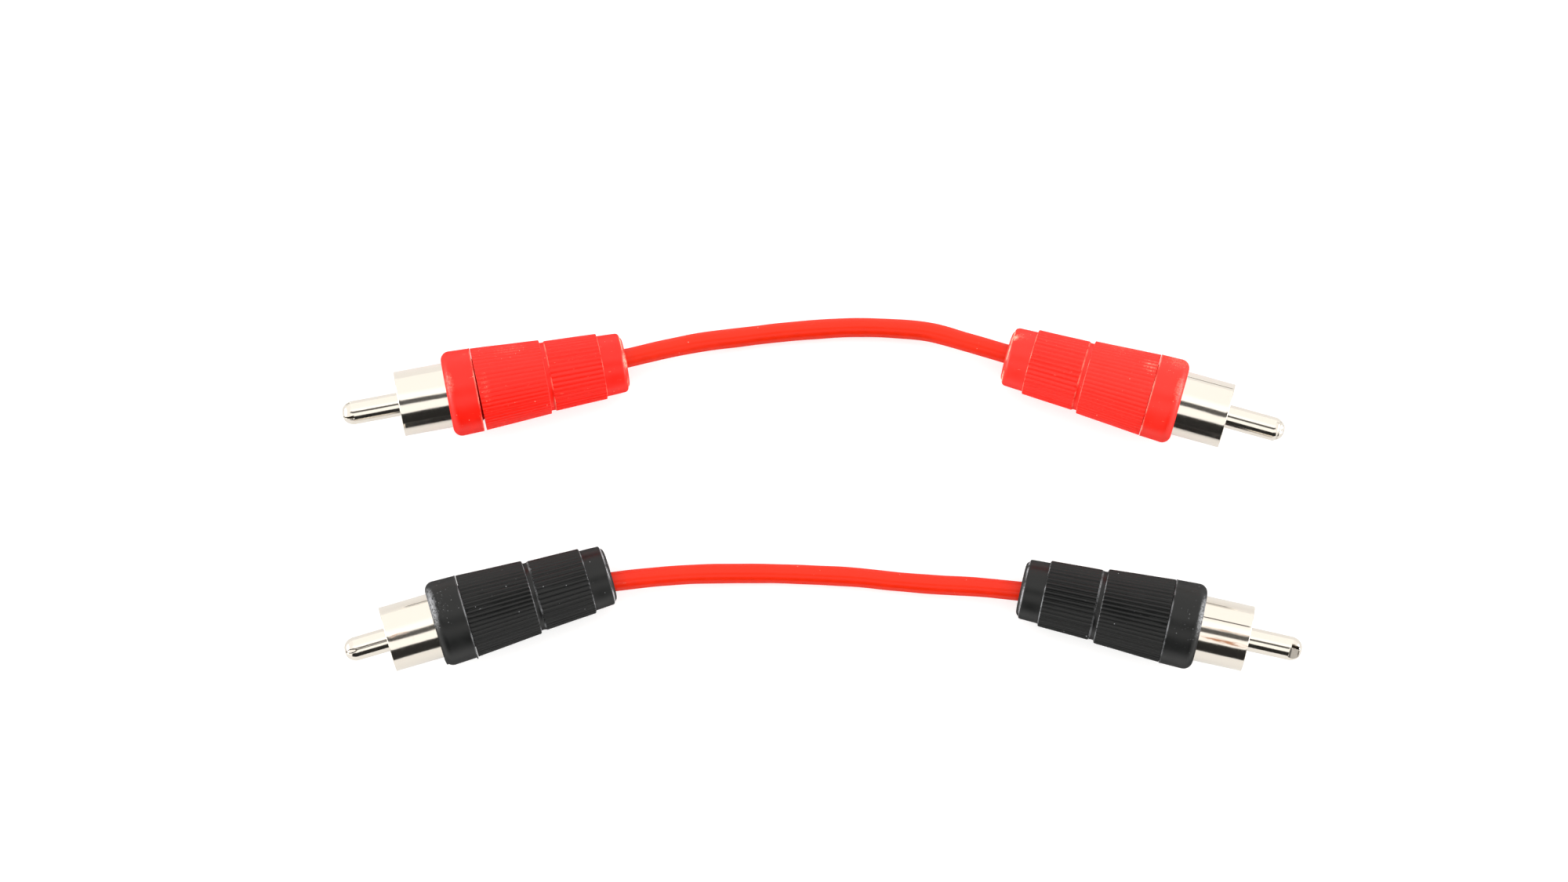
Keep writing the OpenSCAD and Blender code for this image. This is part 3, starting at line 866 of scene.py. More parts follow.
@dataclass(frozen=True)
class Finish:
    """What every finish has.

    Attributes:
        slot: The record's material slot.
        color: Main colour, linear.
    """

    slot: str
    color: Point

    @staticmethod
    def coordinates(graph: Graph, own: bool) -> Socket:
        """Gives coordinates in millimetres.

        Args:
            graph: The material's graph.
            own: Whether the mesh holds its place in the plug's frame; otherwise object coordinates.

        Returns:
            The vector.
        """
        if own:
            return graph.node("ShaderNodeAttribute", attribute_name=PLACE).outputs["Vector"]
        return graph.scaled(graph.node("ShaderNodeTexCoord").outputs["Object"], 1 / MM)

    def material(self, name: str, effects: Effects, own: bool = True, seed: float = 0.0,
                 marks: Sequence[MarkAndHighlight] = ()) -> bpy.types.Material:
        """Builds the material, with a Principled shader.

        Args:
            name: Its name.
            effects: The shared effects.
            own: Whether the mesh holds its own place.
            seed: Offset of its patterns.
            marks: Patches of marks, stains, painted highlights or painted reflections, where the
                mesh holds its own place.

        Returns:
            The material.
        """
        material = bpy.data.materials.new(name)
        material.use_nodes = True
        graph = Graph(material.node_tree)
        shader = graph.node("ShaderNodeBsdfPrincipled")
        graph.node("ShaderNodeOutputMaterial", {"Surface": shader.outputs[0]})
        still = self.coordinates(graph, own)
        place = graph.vector("ADD", still, (seed, seed * 1.7, seed * 0.6))
        tree = self.mark_effect(effects)
        masks = [mark.mask(graph, tree, still) for mark in marks]
        for key, value in self.skin(graph, effects, place, masks).items():
            graph.feed(shader.inputs[key], value)
        return material

    @staticmethod
    def mark_effect(effects: Effects) -> bpy.types.NodeTree:
        """Gives the effect that draws this finish's marks."""
        raise NotImplementedError

    def skin(self, graph: Graph, effects: Effects, place: Socket,
             marks: Sequence[Socket]) -> dict[str, object]:
        """Lays the finish's nodes.

        Args:
            graph: The material's graph.
            effects: The shared effects.
            place: Coordinates of its patterns.
            marks: Mask of each patch of marks, stains, painted highlights or painted reflections.

        Returns:
            What feeds each input of the Principled shader.
        """
        raise NotImplementedError


def color4(color: Point) -> tuple[float, float, float, float]:
    """Adds a full alpha to a colour."""
    return (*color, 1.0)


@dataclass(frozen=True)
class PlasticFinish(Finish):
    """Moulded plastic with rubbed edges, specks, scratches and painted highlights.

    Attributes:
        worn: Colour of rubbed edges and scratches, and of the highlights painted on the plastic.
        rough: Roughness of the smooth skin.
        wear_and_highlight: Amount of edge rubbing, and of the highlight painted along some edges.
        speck_share: Share of cells that hold a speck.
        scratch_share: Part of the surface that may be scratched.
        relief: Strength of the bump.
        ior: Refractive index.
        graze: How much rougher the skin looks along it.
    """

    worn: Point = (0.8, 0.8, 0.8)
    rough: float = 0.4
    wear_and_highlight: float = 0.5
    speck_share: float = 0.1
    scratch_share: float = 0.4
    relief: float = 0.3
    ior: float = 1.44
    graze: float = 0.0

    def faded(self, share: float) -> PlasticFinish:
        """Fades the plastic's colour by a share of the way to its pale marking colour."""
        color = tuple(a + share * (b - a) for a, b in zip(self.color, self.worn))
        return replace(self, color=color)

    @staticmethod
    def mark_effect(effects: Effects) -> bpy.types.NodeTree:
        """Gives the effect that draws rubbed marks and painted highlights."""
        return effects.scuff

    def skin(self, graph: Graph, effects: Effects, place: Socket,
             marks: Sequence[Socket]) -> dict[str, object]:
        """Lays the plastic's nodes. Marks and painted highlights lie on the ribs' crests only.

        Args:
            graph: The material's graph.
            effects: The shared effects.
            place: Coordinates of its patterns.
            marks: Mask of each patch of marks or painted highlight.

        Returns:
            What feeds each input of the Principled shader.
        """
        # The edge mask holds rubbed edges, and the highlight painted along the collar's rear edge
        # and before the second band.
        values = {"Edge": graph.held(WORN_AND_HIGHLIGHT), "Grain": 6.0, "Amount": self.wear_and_highlight}
        light = graph.use(effects.wear_and_highlight, Vector=place, **values)["Mask"]
        values = {"Scale": 2.2, "Share": self.scratch_share}
        scratches = graph.use(effects.scratches, Vector=place, **values)["Mask"]
        values = {"Scale": 1.3, "Size": 0.075, "Share": self.speck_share}
        specks = graph.use(effects.specks, Vector=place, **values)["Mask"]
        for mask, strength in ((scratches, 0.5), (specks, 0.8)):
            light = graph.larger(light, graph.times(mask, strength))
        crest = graph.step(graph.held(VALLEY), 0.15, 0.75, 1.0, 0.0)
        # Patches of marks and painted highlights show on the ribs' crests only.
        for mark in marks:
            light = graph.larger(light, graph.times(mark, crest))
        moulding = graph.use(effects.moulding, Vector=place)
        swing, marked_height, marked_rough = 0.03, 0.01, 0.25
        shade = graph.step(moulding["Shade"], 0.3, 0.7, 1 - swing, 1 + swing)
        rough = graph.step(moulding["Shade"], 0.3, 0.7, self.rough - swing, self.rough + swing)
        facing = graph.node("ShaderNodeLayerWeight", {"Blend": 0.5}).outputs["Facing"]
        rough = graph.plus(rough, graph.step(facing, 0.3, 0.8, 0.0, self.graze))
        height = graph.plus(moulding["Height"], graph.times(light, marked_height))
        return {
            "Base Color": graph.blend(light, graph.scaled(self.color, shade), color4(self.worn)),
            "Roughness": graph.plus(rough, graph.times(light, marked_rough), clamp=True),
            "Normal": graph.bump(height, self.relief),
            "IOR": self.ior,
        }


@dataclass(frozen=True)
class MetalFinish(Finish):
    """Plated sheet metal with faint waves, stains and grain, and some painted reflections and
    shade.

    Attributes:
        rough: Roughness of the clean plating.
        stain_and_reflection: Colour of stains, and of reflections painted as streaks.
        stain_share: Amount of mottled stains.
        waves: Strength of the drawn sheet's waves.
        split: Colour inside seams and splits, and of the shade painted in a crimped nose's crease
            and dent.
    """

    rough: float = 0.14
    stain_and_reflection: Point = (0.3, 0.2, 0.12)
    stain_share: float = 0.3
    waves: float = 0.3
    split: Point = (0.03, 0.02, 0.012)

    @staticmethod
    def mark_effect(effects: Effects) -> bpy.types.NodeTree:
        """Gives the effect that draws streaks of stains and painted reflections."""
        return effects.streak

    def skin(self, graph: Graph, effects: Effects, place: Socket,
             marks: Sequence[Socket]) -> dict[str, object]:
        """Lays the metal's nodes.

        Args:
            graph: The material's graph.
            effects: The shared effects, which are not used here.
            place: Coordinates of its patterns.
            marks: Mask of each streak of stains or painted reflection.

        Returns:
            What feeds each input of the Principled shader.
        """
        stretch, wave_height, grain_height, tarnish_rough = (0.35, 1.0, 1.0), 0.03, 0.0012, 0.35
        wave = graph.noise(graph.vector("MULTIPLY", place, stretch), 0.8, 2.0)
        grain = graph.noise(place, 14.0, 2.0)
        stain_and_reflection_share = graph.step(graph.noise(place, 2.2, 5.0, 0.65), 0.6, 0.8, 0.0, self.stain_share)
        # Streaks join the stain mottling; the one along the black right plug's near side is a
        # painted reflection.
        for mark in marks:
            stain_and_reflection_share = graph.larger(stain_and_reflection_share, mark)
        # Dark inside seams and splits, and painted shade in a crimped nose's crease and dent.
        dark = graph.held(DARK)
        plating = graph.blend(stain_and_reflection_share, color4(self.color), color4(self.stain_and_reflection))
        tarnish = graph.times(graph.larger(stain_and_reflection_share, dark, clamp=True), tarnish_rough)
        rough = graph.step(grain, 0.35, 0.65, self.rough * 0.75, self.rough * 1.25)
        height = graph.plus(graph.times(wave, wave_height), graph.times(grain, grain_height))
        return {
            "Base Color": graph.blend(dark, plating, color4(self.split)),
            "Roughness": graph.plus(rough, tarnish, clamp=True),
            "Normal": graph.bump(height, self.waves),
            "Metallic": 1.0,
        }


RED_PLASTIC = PlasticFinish(
    "red_plastic", (0.94, 0.008, 0.0002), worn=(0.96, 0.48, 0.35), rough=0.38, wear_and_highlight=0.6,
    speck_share=0.2, scratch_share=0.5, relief=0.16, ior=1.44, graze=0.45)
BLACK_PLASTIC = PlasticFinish(
    "black_plastic", (0.0035, 0.004, 0.004), worn=(0.42, 0.43, 0.45), rough=0.36, wear_and_highlight=0.62,
    speck_share=0.3, scratch_share=0.36, relief=0.22, ior=1.41, graze=0.5)
RED_JACKET = PlasticFinish(
    "red_jacket", (0.82, 0.019, 0.0003), worn=(0.95, 0.45, 0.36), rough=0.34, wear_and_highlight=0.2,
    speck_share=0.16, scratch_share=0.35, relief=0.12, ior=1.36, graze=0.4)
INSULATION = PlasticFinish(
    "insulator_plastic", (0.78, 0.74, 0.62), worn=(0.9, 0.88, 0.8), rough=0.45, wear_and_highlight=0.3,
    speck_share=0.05, scratch_share=0.2, relief=0.2)
CORE = PlasticFinish(
    "core_plastic", (0.8, 0.77, 0.68), worn=(0.9, 0.9, 0.85), rough=0.4, wear_and_highlight=0.3,
    speck_share=0.05, scratch_share=0.2, relief=0.2)
NICKEL = MetalFinish(
    "nickel", (0.775, 0.725, 0.65), rough=0.12, stain_and_reflection=(0.5, 0.24, 0.13), stain_share=0.14,
    waves=0.34)
COPPER = MetalFinish(
    "copper", (0.72, 0.33, 0.17), rough=0.3, stain_and_reflection=(0.3, 0.12, 0.06), stain_share=0.4,
    waves=0.3)
SOLDER = MetalFinish(
    "solder", (0.5, 0.5, 0.52), rough=0.35, stain_and_reflection=(0.25, 0.24, 0.22), stain_share=0.5,
    waves=0.8)
SHELL_FINISH: dict[Shell, PlasticFinish] = {Shell.RED: RED_PLASTIC, Shell.BLACK: BLACK_PLASTIC}


# --------------------------------------------------------------------------- meshes


@dataclass
class Ring:
    """One ring of a turned piece.

    Attributes:
        s: Place along the plug.
        r: Radius.
        worn: How much an edge is rubbed, from 0 to 1, with a painted highlight along the collar's
            rear edge and before the second band.
        band1: Share of the first band's ribs.
        band2: Share of the second band's ribs.
        thread: Depth to which the thread is cut inwards from here.
        drop: How far the ends of the ribs are rounded off here.
    """

    s: float
    r: float
    worn: float = 0.0
    band1: float = 0.0
    band2: float = 0.0
    thread: float = 0.0
    drop: float = 0.0

    def towards(self, other: Ring, share: float) -> Ring:
        """Gives an unworn ring on the way to another one.

        Args:
            other: The other ring.
            share: How far on the way.

        Returns:
            The ring.
        """
        parts = {}
        for key in ("s", "r", "band1", "band2"):
            here, there = getattr(self, key), getattr(other, key)
            parts[key] = here + share * (there - here)
        return replace(self, worn=0.0, drop=0.0, **parts)


def rounded(x: float, y: float, r: float, start: float, end: float, steps: int,
            **marks: float) -> list[Ring]:
    """Gives the rings of a rounded edge.

    Args:
        x: Middle of the round along the plug.
        y: Middle of the round, as a radius.
        r: Its radius.
        start: First angle in degrees, where 0 points along the plug and 90 outwards.
        end: Last angle.
        steps: Number of parts.
        **marks: Ring attributes.

    Returns:
        The rings.
    """
    rings = []
    for i in range(steps + 1):
        a = math.radians(start + (end - start) * i / steps)
        rings.append(Ring(x + r * math.cos(a), y + r * math.sin(a), **marks))
    return rings


def thread(start: float, length: float, steps: int) -> Iterator[tuple[float, float]]:
    """Gives places along a thread, whose ends run out over four of them.

    Args:
        start: Where it starts along the plug.
        length: Its length.
        steps: Number of parts.

    Yields:
        Each place, and the share of the thread's full depth there.
    """
    for i in range(steps + 1):
        yield start + length * i / steps, min(1.0, i / 4, (steps - i) / 4)


def rounded_end(radius: float) -> list[tuple[float, float]]:
    """Gives places on a band near an end at which its ribs are rounded off.

    Args:
        radius: Radius of the round.

    Returns:
        Distance from the end and drop of each place, from the end inwards.
    """
    places = [radius * (1 - math.cos(math.radians(a))) for a in (0, 20, 40, 62, 90)]
    return [(d, radius - math.sqrt(radius**2 - (radius - d) ** 2)) for d in places]


@dataclass(frozen=True)
class Band:
    """A ribbed band of a screw cap.

    Attributes:
        key: The rings' attribute that holds its share of ribs.
        start: Where it starts, behind the cap's front.
        length: Its length.
        r_front: Radius at its front.
        r_rear: Radius at its rear.
        front_round: Radius by which the ribs' front ends are rounded.
        rear_round: The same at their rear ends.
        worn: How much the ribs' ends are rubbed.
    """

    key: str
    start: float
    length: float
    r_front: float
    r_rear: float
    front_round: float
    rear_round: float
    worn: float

    def ring(self, behind: float, drop: float = 0.0) -> Ring:
        """Gives one ring.

        Args:
            behind: How far it lies behind the band's front.
            drop: How far the ribs' ends are rounded off there.

        Returns:
            The ring, marked where the ribs' ends are rubbed.
        """
        rubbed_from = 0.03
        radius = self.r_front - (self.r_front - self.r_rear) / self.length * behind
        worn = self.worn if drop > rubbed_from else 0.0
        return Ring(-self.start - behind, radius, worn, drop=drop, **{self.key: 1.0})

    def rings(self) -> list[Ring]:
        """Gives its rings from front to rear.

        Returns:
            The rings.
        """
        plain_from = 0.6
        rear = reversed(rounded_end(self.rear_round))
        rings = [self.ring(d, drop) for d, drop in rounded_end(self.front_round)]
        rings += [self.ring(d) for d in np.linspace(plain_from, self.length - plain_from, 8)]
        return rings + [self.ring(self.length - d, drop) for d, drop in rear]


Shape = Callable[[np.ndarray, np.ndarray, np.ndarray], Turned]


def new_object(name: str, data: bpy.types.ID) -> bpy.types.Object:
    """Puts new data into the scene.

    Args:
        name: The object's name.
        data: Its mesh or camera.

    Returns:
        The object.
    """
    made = bpy.data.objects.new(name, data)
    bpy.context.scene.collection.objects.link(made)
    return made


def mesh_object(name: str, points: np.ndarray, faces: list[list[int]], place: np.ndarray,
                values: dict[str, np.ndarray], sharp: float = 40.0) -> bpy.types.Object:
    """Makes a smooth-shaded mesh object with attributes.

    Args:
        name: The piece's name.
        points: Points in metres, in the pair's frame.
        faces: Corners of each face.
        place: Points in millimetres, in the plug's frame.
        values: Values of each point by attribute name.
        sharp: Angle in degrees from which an edge stays sharp.

    Returns:
        The object.
    """
    mesh = bpy.data.meshes.new(name)
    mesh.from_pydata(points.tolist(), [], faces)
    mesh.update()
    attribute = mesh.attributes.new(PLACE, "FLOAT_VECTOR", "POINT")
    attribute.data.foreach_set("vector", np.asarray(place, dtype=np.float32).ravel())
    for key, value in values.items():
        made = mesh.attributes.new(key, "FLOAT", "POINT")
        made.data.foreach_set("value", np.asarray(value, dtype=np.float32).ravel())
    mesh.shade_smooth()
    mesh.set_sharp_from_angle(angle=math.radians(sharp))
    return new_object(name, mesh)


def tube_faces(rows: int, columns: int, joined: bool) -> list[list[int]]:
    """Joins rings of points into faces.

    Args:
        rows: Number of rings.
        columns: Number of points in each.
        joined: Whether the last ring joins the first; otherwise each end is closed by one face.

    Returns:
        The corners of each face.
    """
    grid = np.arange(rows * columns).reshape(rows, columns)
    if joined:
        grid = np.vstack([grid, grid[:1]])
    right = np.roll(grid, -1, axis=1)
    faces = np.stack([grid[:-1], right[:-1], right[1:], grid[1:]], -1).reshape(-1, 4).tolist()
    if not joined:
        faces += [grid[0][::-1].tolist(), grid[-1].tolist()]
    return faces


@dataclass
class Lathe:
    """Turns a closed outline of rings about the plug's axis.

    Attributes:
        spot: The plug that the piece belongs to.
        rings: The outline, in order, whose last ring joins the first.
        sides: Number of columns round the axis.
        pitch: Pitch of a thread, in mm.
        extra: Further column angles in degrees, such as at a seam.
        shape: Gives s, radius and darkness from angle, s and radius.
        capped: Whether the outline ends on the axis instead of joining up.
    """

    spot: PlugSpot
    rings: list[Ring]
    sides: int = 160
    pitch: float = 0.8
    extra: tuple[float, ...] = ()
    shape: Shape | None = None
    capped: bool = False

    def fence(self) -> None:
        """Puts a ring close beside each rubbed edge, so that its marking stays narrow."""
        reach, least_wear = 0.13, 0.1
        rings = self.rings[:1]
        for ring in self.rings[1:]:
            last = rings[-1]
            gap = math.hypot(ring.s - last.s, ring.r - last.r)
            worn = max(last.worn, ring.worn) > least_wear
            if gap > 2.5 * reach and worn and last.thread == ring.thread == 0:
                if last.worn > least_wear:
                    rings.append(last.towards(ring, reach / gap))
                if ring.worn > least_wear:
                    rings.append(ring.towards(last, reach / gap))
            rings.append(ring)
        self.rings = rings

    def build(self, name: str) -> bpy.types.Object:
        """Makes the mesh object.

        Args:
            name: The piece's name.

        Returns:
            The object.
        """
        self.fence()
        turn = np.arange(self.sides) * math.tau / self.sides
        extra = np.radians(np.array(self.extra)) % math.tau
        turn = np.unique(np.concatenate([turn, extra]).round(9))
        s = np.array([ring.s for ring in self.rings])[:, None] + 0 * turn
        r = np.array([ring.r for ring in self.rings])[:, None] + 0 * turn
        a = 0 * s + turn
        depth = np.array([ring.thread for ring in self.rings])[:, None]
        phase = (s / self.pitch + a / math.tau) % 1.0
        r = r - depth * (0.5 + 0.5 * np.cos(phase * math.tau))
        dark = np.zeros_like(r)
        if self.shape is not None:
            s, r, dark = self.shape(a, s, r)
        place = np.stack([s, r * np.sin(a), r * np.cos(a)], -1).reshape(-1, 3)
        matrix = np.array(self.spot.matrix())
        points = (place @ matrix[:3, :3].T + matrix[:3, 3]) * MM
        values = {}
        for key in (WORN_AND_HIGHLIGHT, "band1", "band2", DROP):
            values[key] = np.repeat([getattr(ring, key) for ring in self.rings], len(turn))
        values[TURN] = (a / math.tau).ravel()
        values[DARK] = dark.ravel()
        faces = tube_faces(len(self.rings), len(turn), not self.capped)
        return mesh_object(name, points, faces, place, values)


def facing_out(piece: bpy.types.Object) -> bpy.types.Object:
    """Turns a closed piece's faces outwards.

    Args:
        piece: The piece.

    Returns:
        The same piece.
    """
    mesh = piece.data
    points = np.empty(len(mesh.vertices) * 3, dtype=np.float32)
    mesh.vertices.foreach_get("co", points)
    points = points.reshape(-1, 3).astype(float)
    points -= points.mean(0)
    mesh.calc_loop_triangles()
    corners = np.empty(len(mesh.loop_triangles) * 3, dtype=np.int32)
    mesh.loop_triangles.foreach_get("vertices", corners)
    a, b, c = points[corners.reshape(-1, 3)].transpose(1, 0, 2)
    if np.einsum("ij,ij->i", a, np.cross(b, c)).sum() < 0:
        mesh.flip_normals()
    return piece


# --------------------------------------------------------------------------- geometry nodes


class Modifiers:
    """Geometry node trees, each built once, with named inputs."""

    def __init__(self) -> None:
        """Builds every tree."""
        self.ribs = self._ribs()
        self.strands = self._strands()

    @staticmethod
    def _start(name: str,
               inputs: Sequence[tuple[str, str, object]]) -> tuple[Graph, Mapping[str, Socket]]:
        """Starts a tree that takes and gives a geometry.

        Args:
            name: Its name.
            inputs: Name, kind and default of each further input, besides the material.

        Returns:
            The graph and its inputs.
        """
        tree = bpy.data.node_groups.new(name, "GeometryNodeTree")
        tree.is_modifier = True
        graph = Graph(tree)
        new_socket = tree.interface.new_socket
        first, last = ("Geometry", "Geometry", None), ("Material", "Material", None)
        for label, kind, value in (first, *inputs, last):
            made = new_socket(name=label, in_out="INPUT", socket_type=f"NodeSocket{kind}")
            if value is not None:
                made.default_value = value
        new_socket(name="Geometry", in_out="OUTPUT", socket_type="NodeSocketGeometry")
        return graph, graph.node("NodeGroupInput").outputs

    @staticmethod
    def _finish(graph: Graph, given: Mapping[str, Socket], geometry: Socket) -> bpy.types.NodeTree:
        """Ends a tree with Realize Instances and Set Material.

        Args:
            graph: The tree's graph.
            given: Its inputs.
            geometry: What it has made.

        Returns:
            The tree.
        """
        real = graph.node("GeometryNodeRealizeInstances", {"Geometry": geometry})
        values = {"Geometry": real.outputs[0], "Material": given["Material"]}
        dressed = graph.node("GeometryNodeSetMaterial", values)
        graph.node("NodeGroupOutput", {"Geometry": dressed.outputs[0]})
        return graph.tree

    @classmethod
    def _ribs(cls) -> bpy.types.NodeTree:
        """Presses ribs into a turned cap's two bands.

        Returns:
            The tree, with inputs for each band's number of ribs, their flatness and depth, for the
            plug's axis, and for the seed of the ribs' unevenness.
        """
        graph, given = cls._start("ribbed_bands", (
            ("Ribs 1", "Float", 56.0), ("Ribs 2", "Float", 44.0),
            ("Flatness 1", "Float", 1.3), ("Flatness 2", "Float", 1.2),
            ("Depth 1", "Float", 0.00024), ("Depth 2", "Float", 0.00024),
            ("Axis Point", "Vector", None), ("Axis", "Vector", None), ("Seed", "Float", 0.0)))
        turn = graph.point_value(TURN)
        depths, shares = [], []
        for band in ("1", "2"):
            part = graph.math("FRACT", graph.times(turn, given[f"Ribs {band}"]))
            off = graph.math("ABSOLUTE", graph.minus(graph.times(part, 2.0), 1.0))
            fall = graph.step(graph.math("POWER", off, given[f"Flatness {band}"]), 0.0, 1.0)
            shares.append(graph.times(fall, graph.point_value(f"band{band}")))
            depths.append(graph.times(shares[-1], given[f"Depth {band}"]))
        where = graph.node("GeometryNodeInputPosition").outputs[0]
        grain_scale, blend_mm = 900.0, 0.03
        spread = graph.scaled(where, grain_scale)
        grain = graph.noise(graph.vector("ADD", spread, given["Seed"]), 1.0, 2.0)
        uneven = graph.step(grain, 0.3, 0.7, 0.85, 1.0)
        depth = graph.times(graph.plus(*depths), uneven)
        rounding = graph.times(graph.point_value(DROP), MM)
        depth = graph.math("SMOOTH_MAX", depth, rounding, blend_mm * MM)
        apart = graph.vector("SUBTRACT", where, given["Axis Point"])
        along = graph.scaled(given["Axis"], graph.measure("DOT_PRODUCT", apart, given["Axis"]))
        outward = graph.vector("NORMALIZE", graph.vector("SUBTRACT", apart, along))
        move = graph.scaled(outward, graph.times(depth, -1.0))
        values = {"Geometry": given["Geometry"], "Name": VALLEY, "Value": graph.plus(*shares)}
        kept = graph.node("GeometryNodeStoreNamedAttribute", values, data_type="FLOAT")
        moved = graph.node("GeometryNodeSetPosition", {"Geometry": kept.outputs[0], "Offset": move})
        return cls._finish(graph, given, moved.outputs[0])

    @classmethod
    def _strands(cls) -> bpy.types.NodeTree:
        """Twists thin wires round a line.

        Returns:
            The tree, with inputs for the number of strands, their radius, and the twist's radius
            and turns.
        """
        graph, given = cls._start("twisted_strands", (
            ("Strands", "Int", 7), ("Strand Radius", "Float", 0.00008),
            ("Twist Radius", "Float", 0.00016), ("Turns", "Float", 2.0)))
        line = graph.node("GeometryNodeMeshToCurve", {"Mesh": given["Geometry"]})
        fine = graph.node("GeometryNodeResampleCurve", {"Curve": line.outputs[0], "Count": 40})
        values = {"Geometry": fine.outputs[0], "Amount": given["Strands"]}
        copies = graph.node("GeometryNodeDuplicateElements", values, domain="SPLINE").outputs
        share = graph.math("DIVIDE", copies["Duplicate Index"], given["Strands"])
        factor = graph.node("GeometryNodeSplineParameter").outputs["Factor"]
        turns = graph.plus(share, graph.times(factor, given["Turns"]))
        angle = graph.times(turns, math.tau)
        tangent = graph.node("GeometryNodeInputTangent").outputs[0]
        side = graph.vector("NORMALIZE", graph.vector("CROSS_PRODUCT", tangent, (0.0, 0.0, 1.0)))
        up = graph.vector("CROSS_PRODUCT", side, tangent)
        parts = []
        for vector, wave in ((side, "COSINE"), (up, "SINE")):
            reach = graph.times(graph.math(wave, angle), given["Twist Radius"])
            parts.append(graph.scaled(vector, reach))
        values = {"Geometry": copies[0], "Offset": graph.vector("ADD", *parts)}
        moved = graph.node("GeometryNodeSetPosition", values)
        values = {"Resolution": 8, "Radius": given["Strand Radius"]}
        ring = graph.node("GeometryNodeCurvePrimitiveCircle", values)
        values = {"Curve": moved.outputs[0], "Profile Curve": ring.outputs[0], "Fill Caps": True}
        tubes = graph.node("GeometryNodeCurveToMesh", values)
        smooth = graph.node("GeometryNodeSetShadeSmooth", {"Geometry": tubes.outputs[0]})
        return cls._finish(graph, given, smooth.outputs[0])

    @staticmethod
    def apply(piece: bpy.types.Object, tree: bpy.types.NodeTree,
              values: dict[str, object]) -> bpy.types.Object:
        """Runs a tree on a piece and keeps the result as a plain mesh.

        Args:
            piece: The piece.
            tree: The tree.
            values: A value for each named input.

        Returns:
            The same piece, with its new mesh.
        """
        modifier = piece.modifiers.new(tree.name, "NODES")
        modifier.node_group = tree
        for item in tree.interface.items_tree:
            if item.in_out == "INPUT" and item.name in values:
                modifier[item.identifier] = values[item.name]
        bpy.context.view_layer.update()
        depsgraph = bpy.context.evaluated_depsgraph_get()
        mesh = bpy.data.meshes.new_from_object(
            piece.evaluated_get(depsgraph), preserve_all_data_layers=True, depsgraph=depsgraph)
        piece.modifiers.remove(modifier)
        old = piece.data
        mesh.name = piece.name
        piece.data = mesh
        bpy.data.meshes.remove(old)
        return piece


# --------------------------------------------------------------------------- the plugs


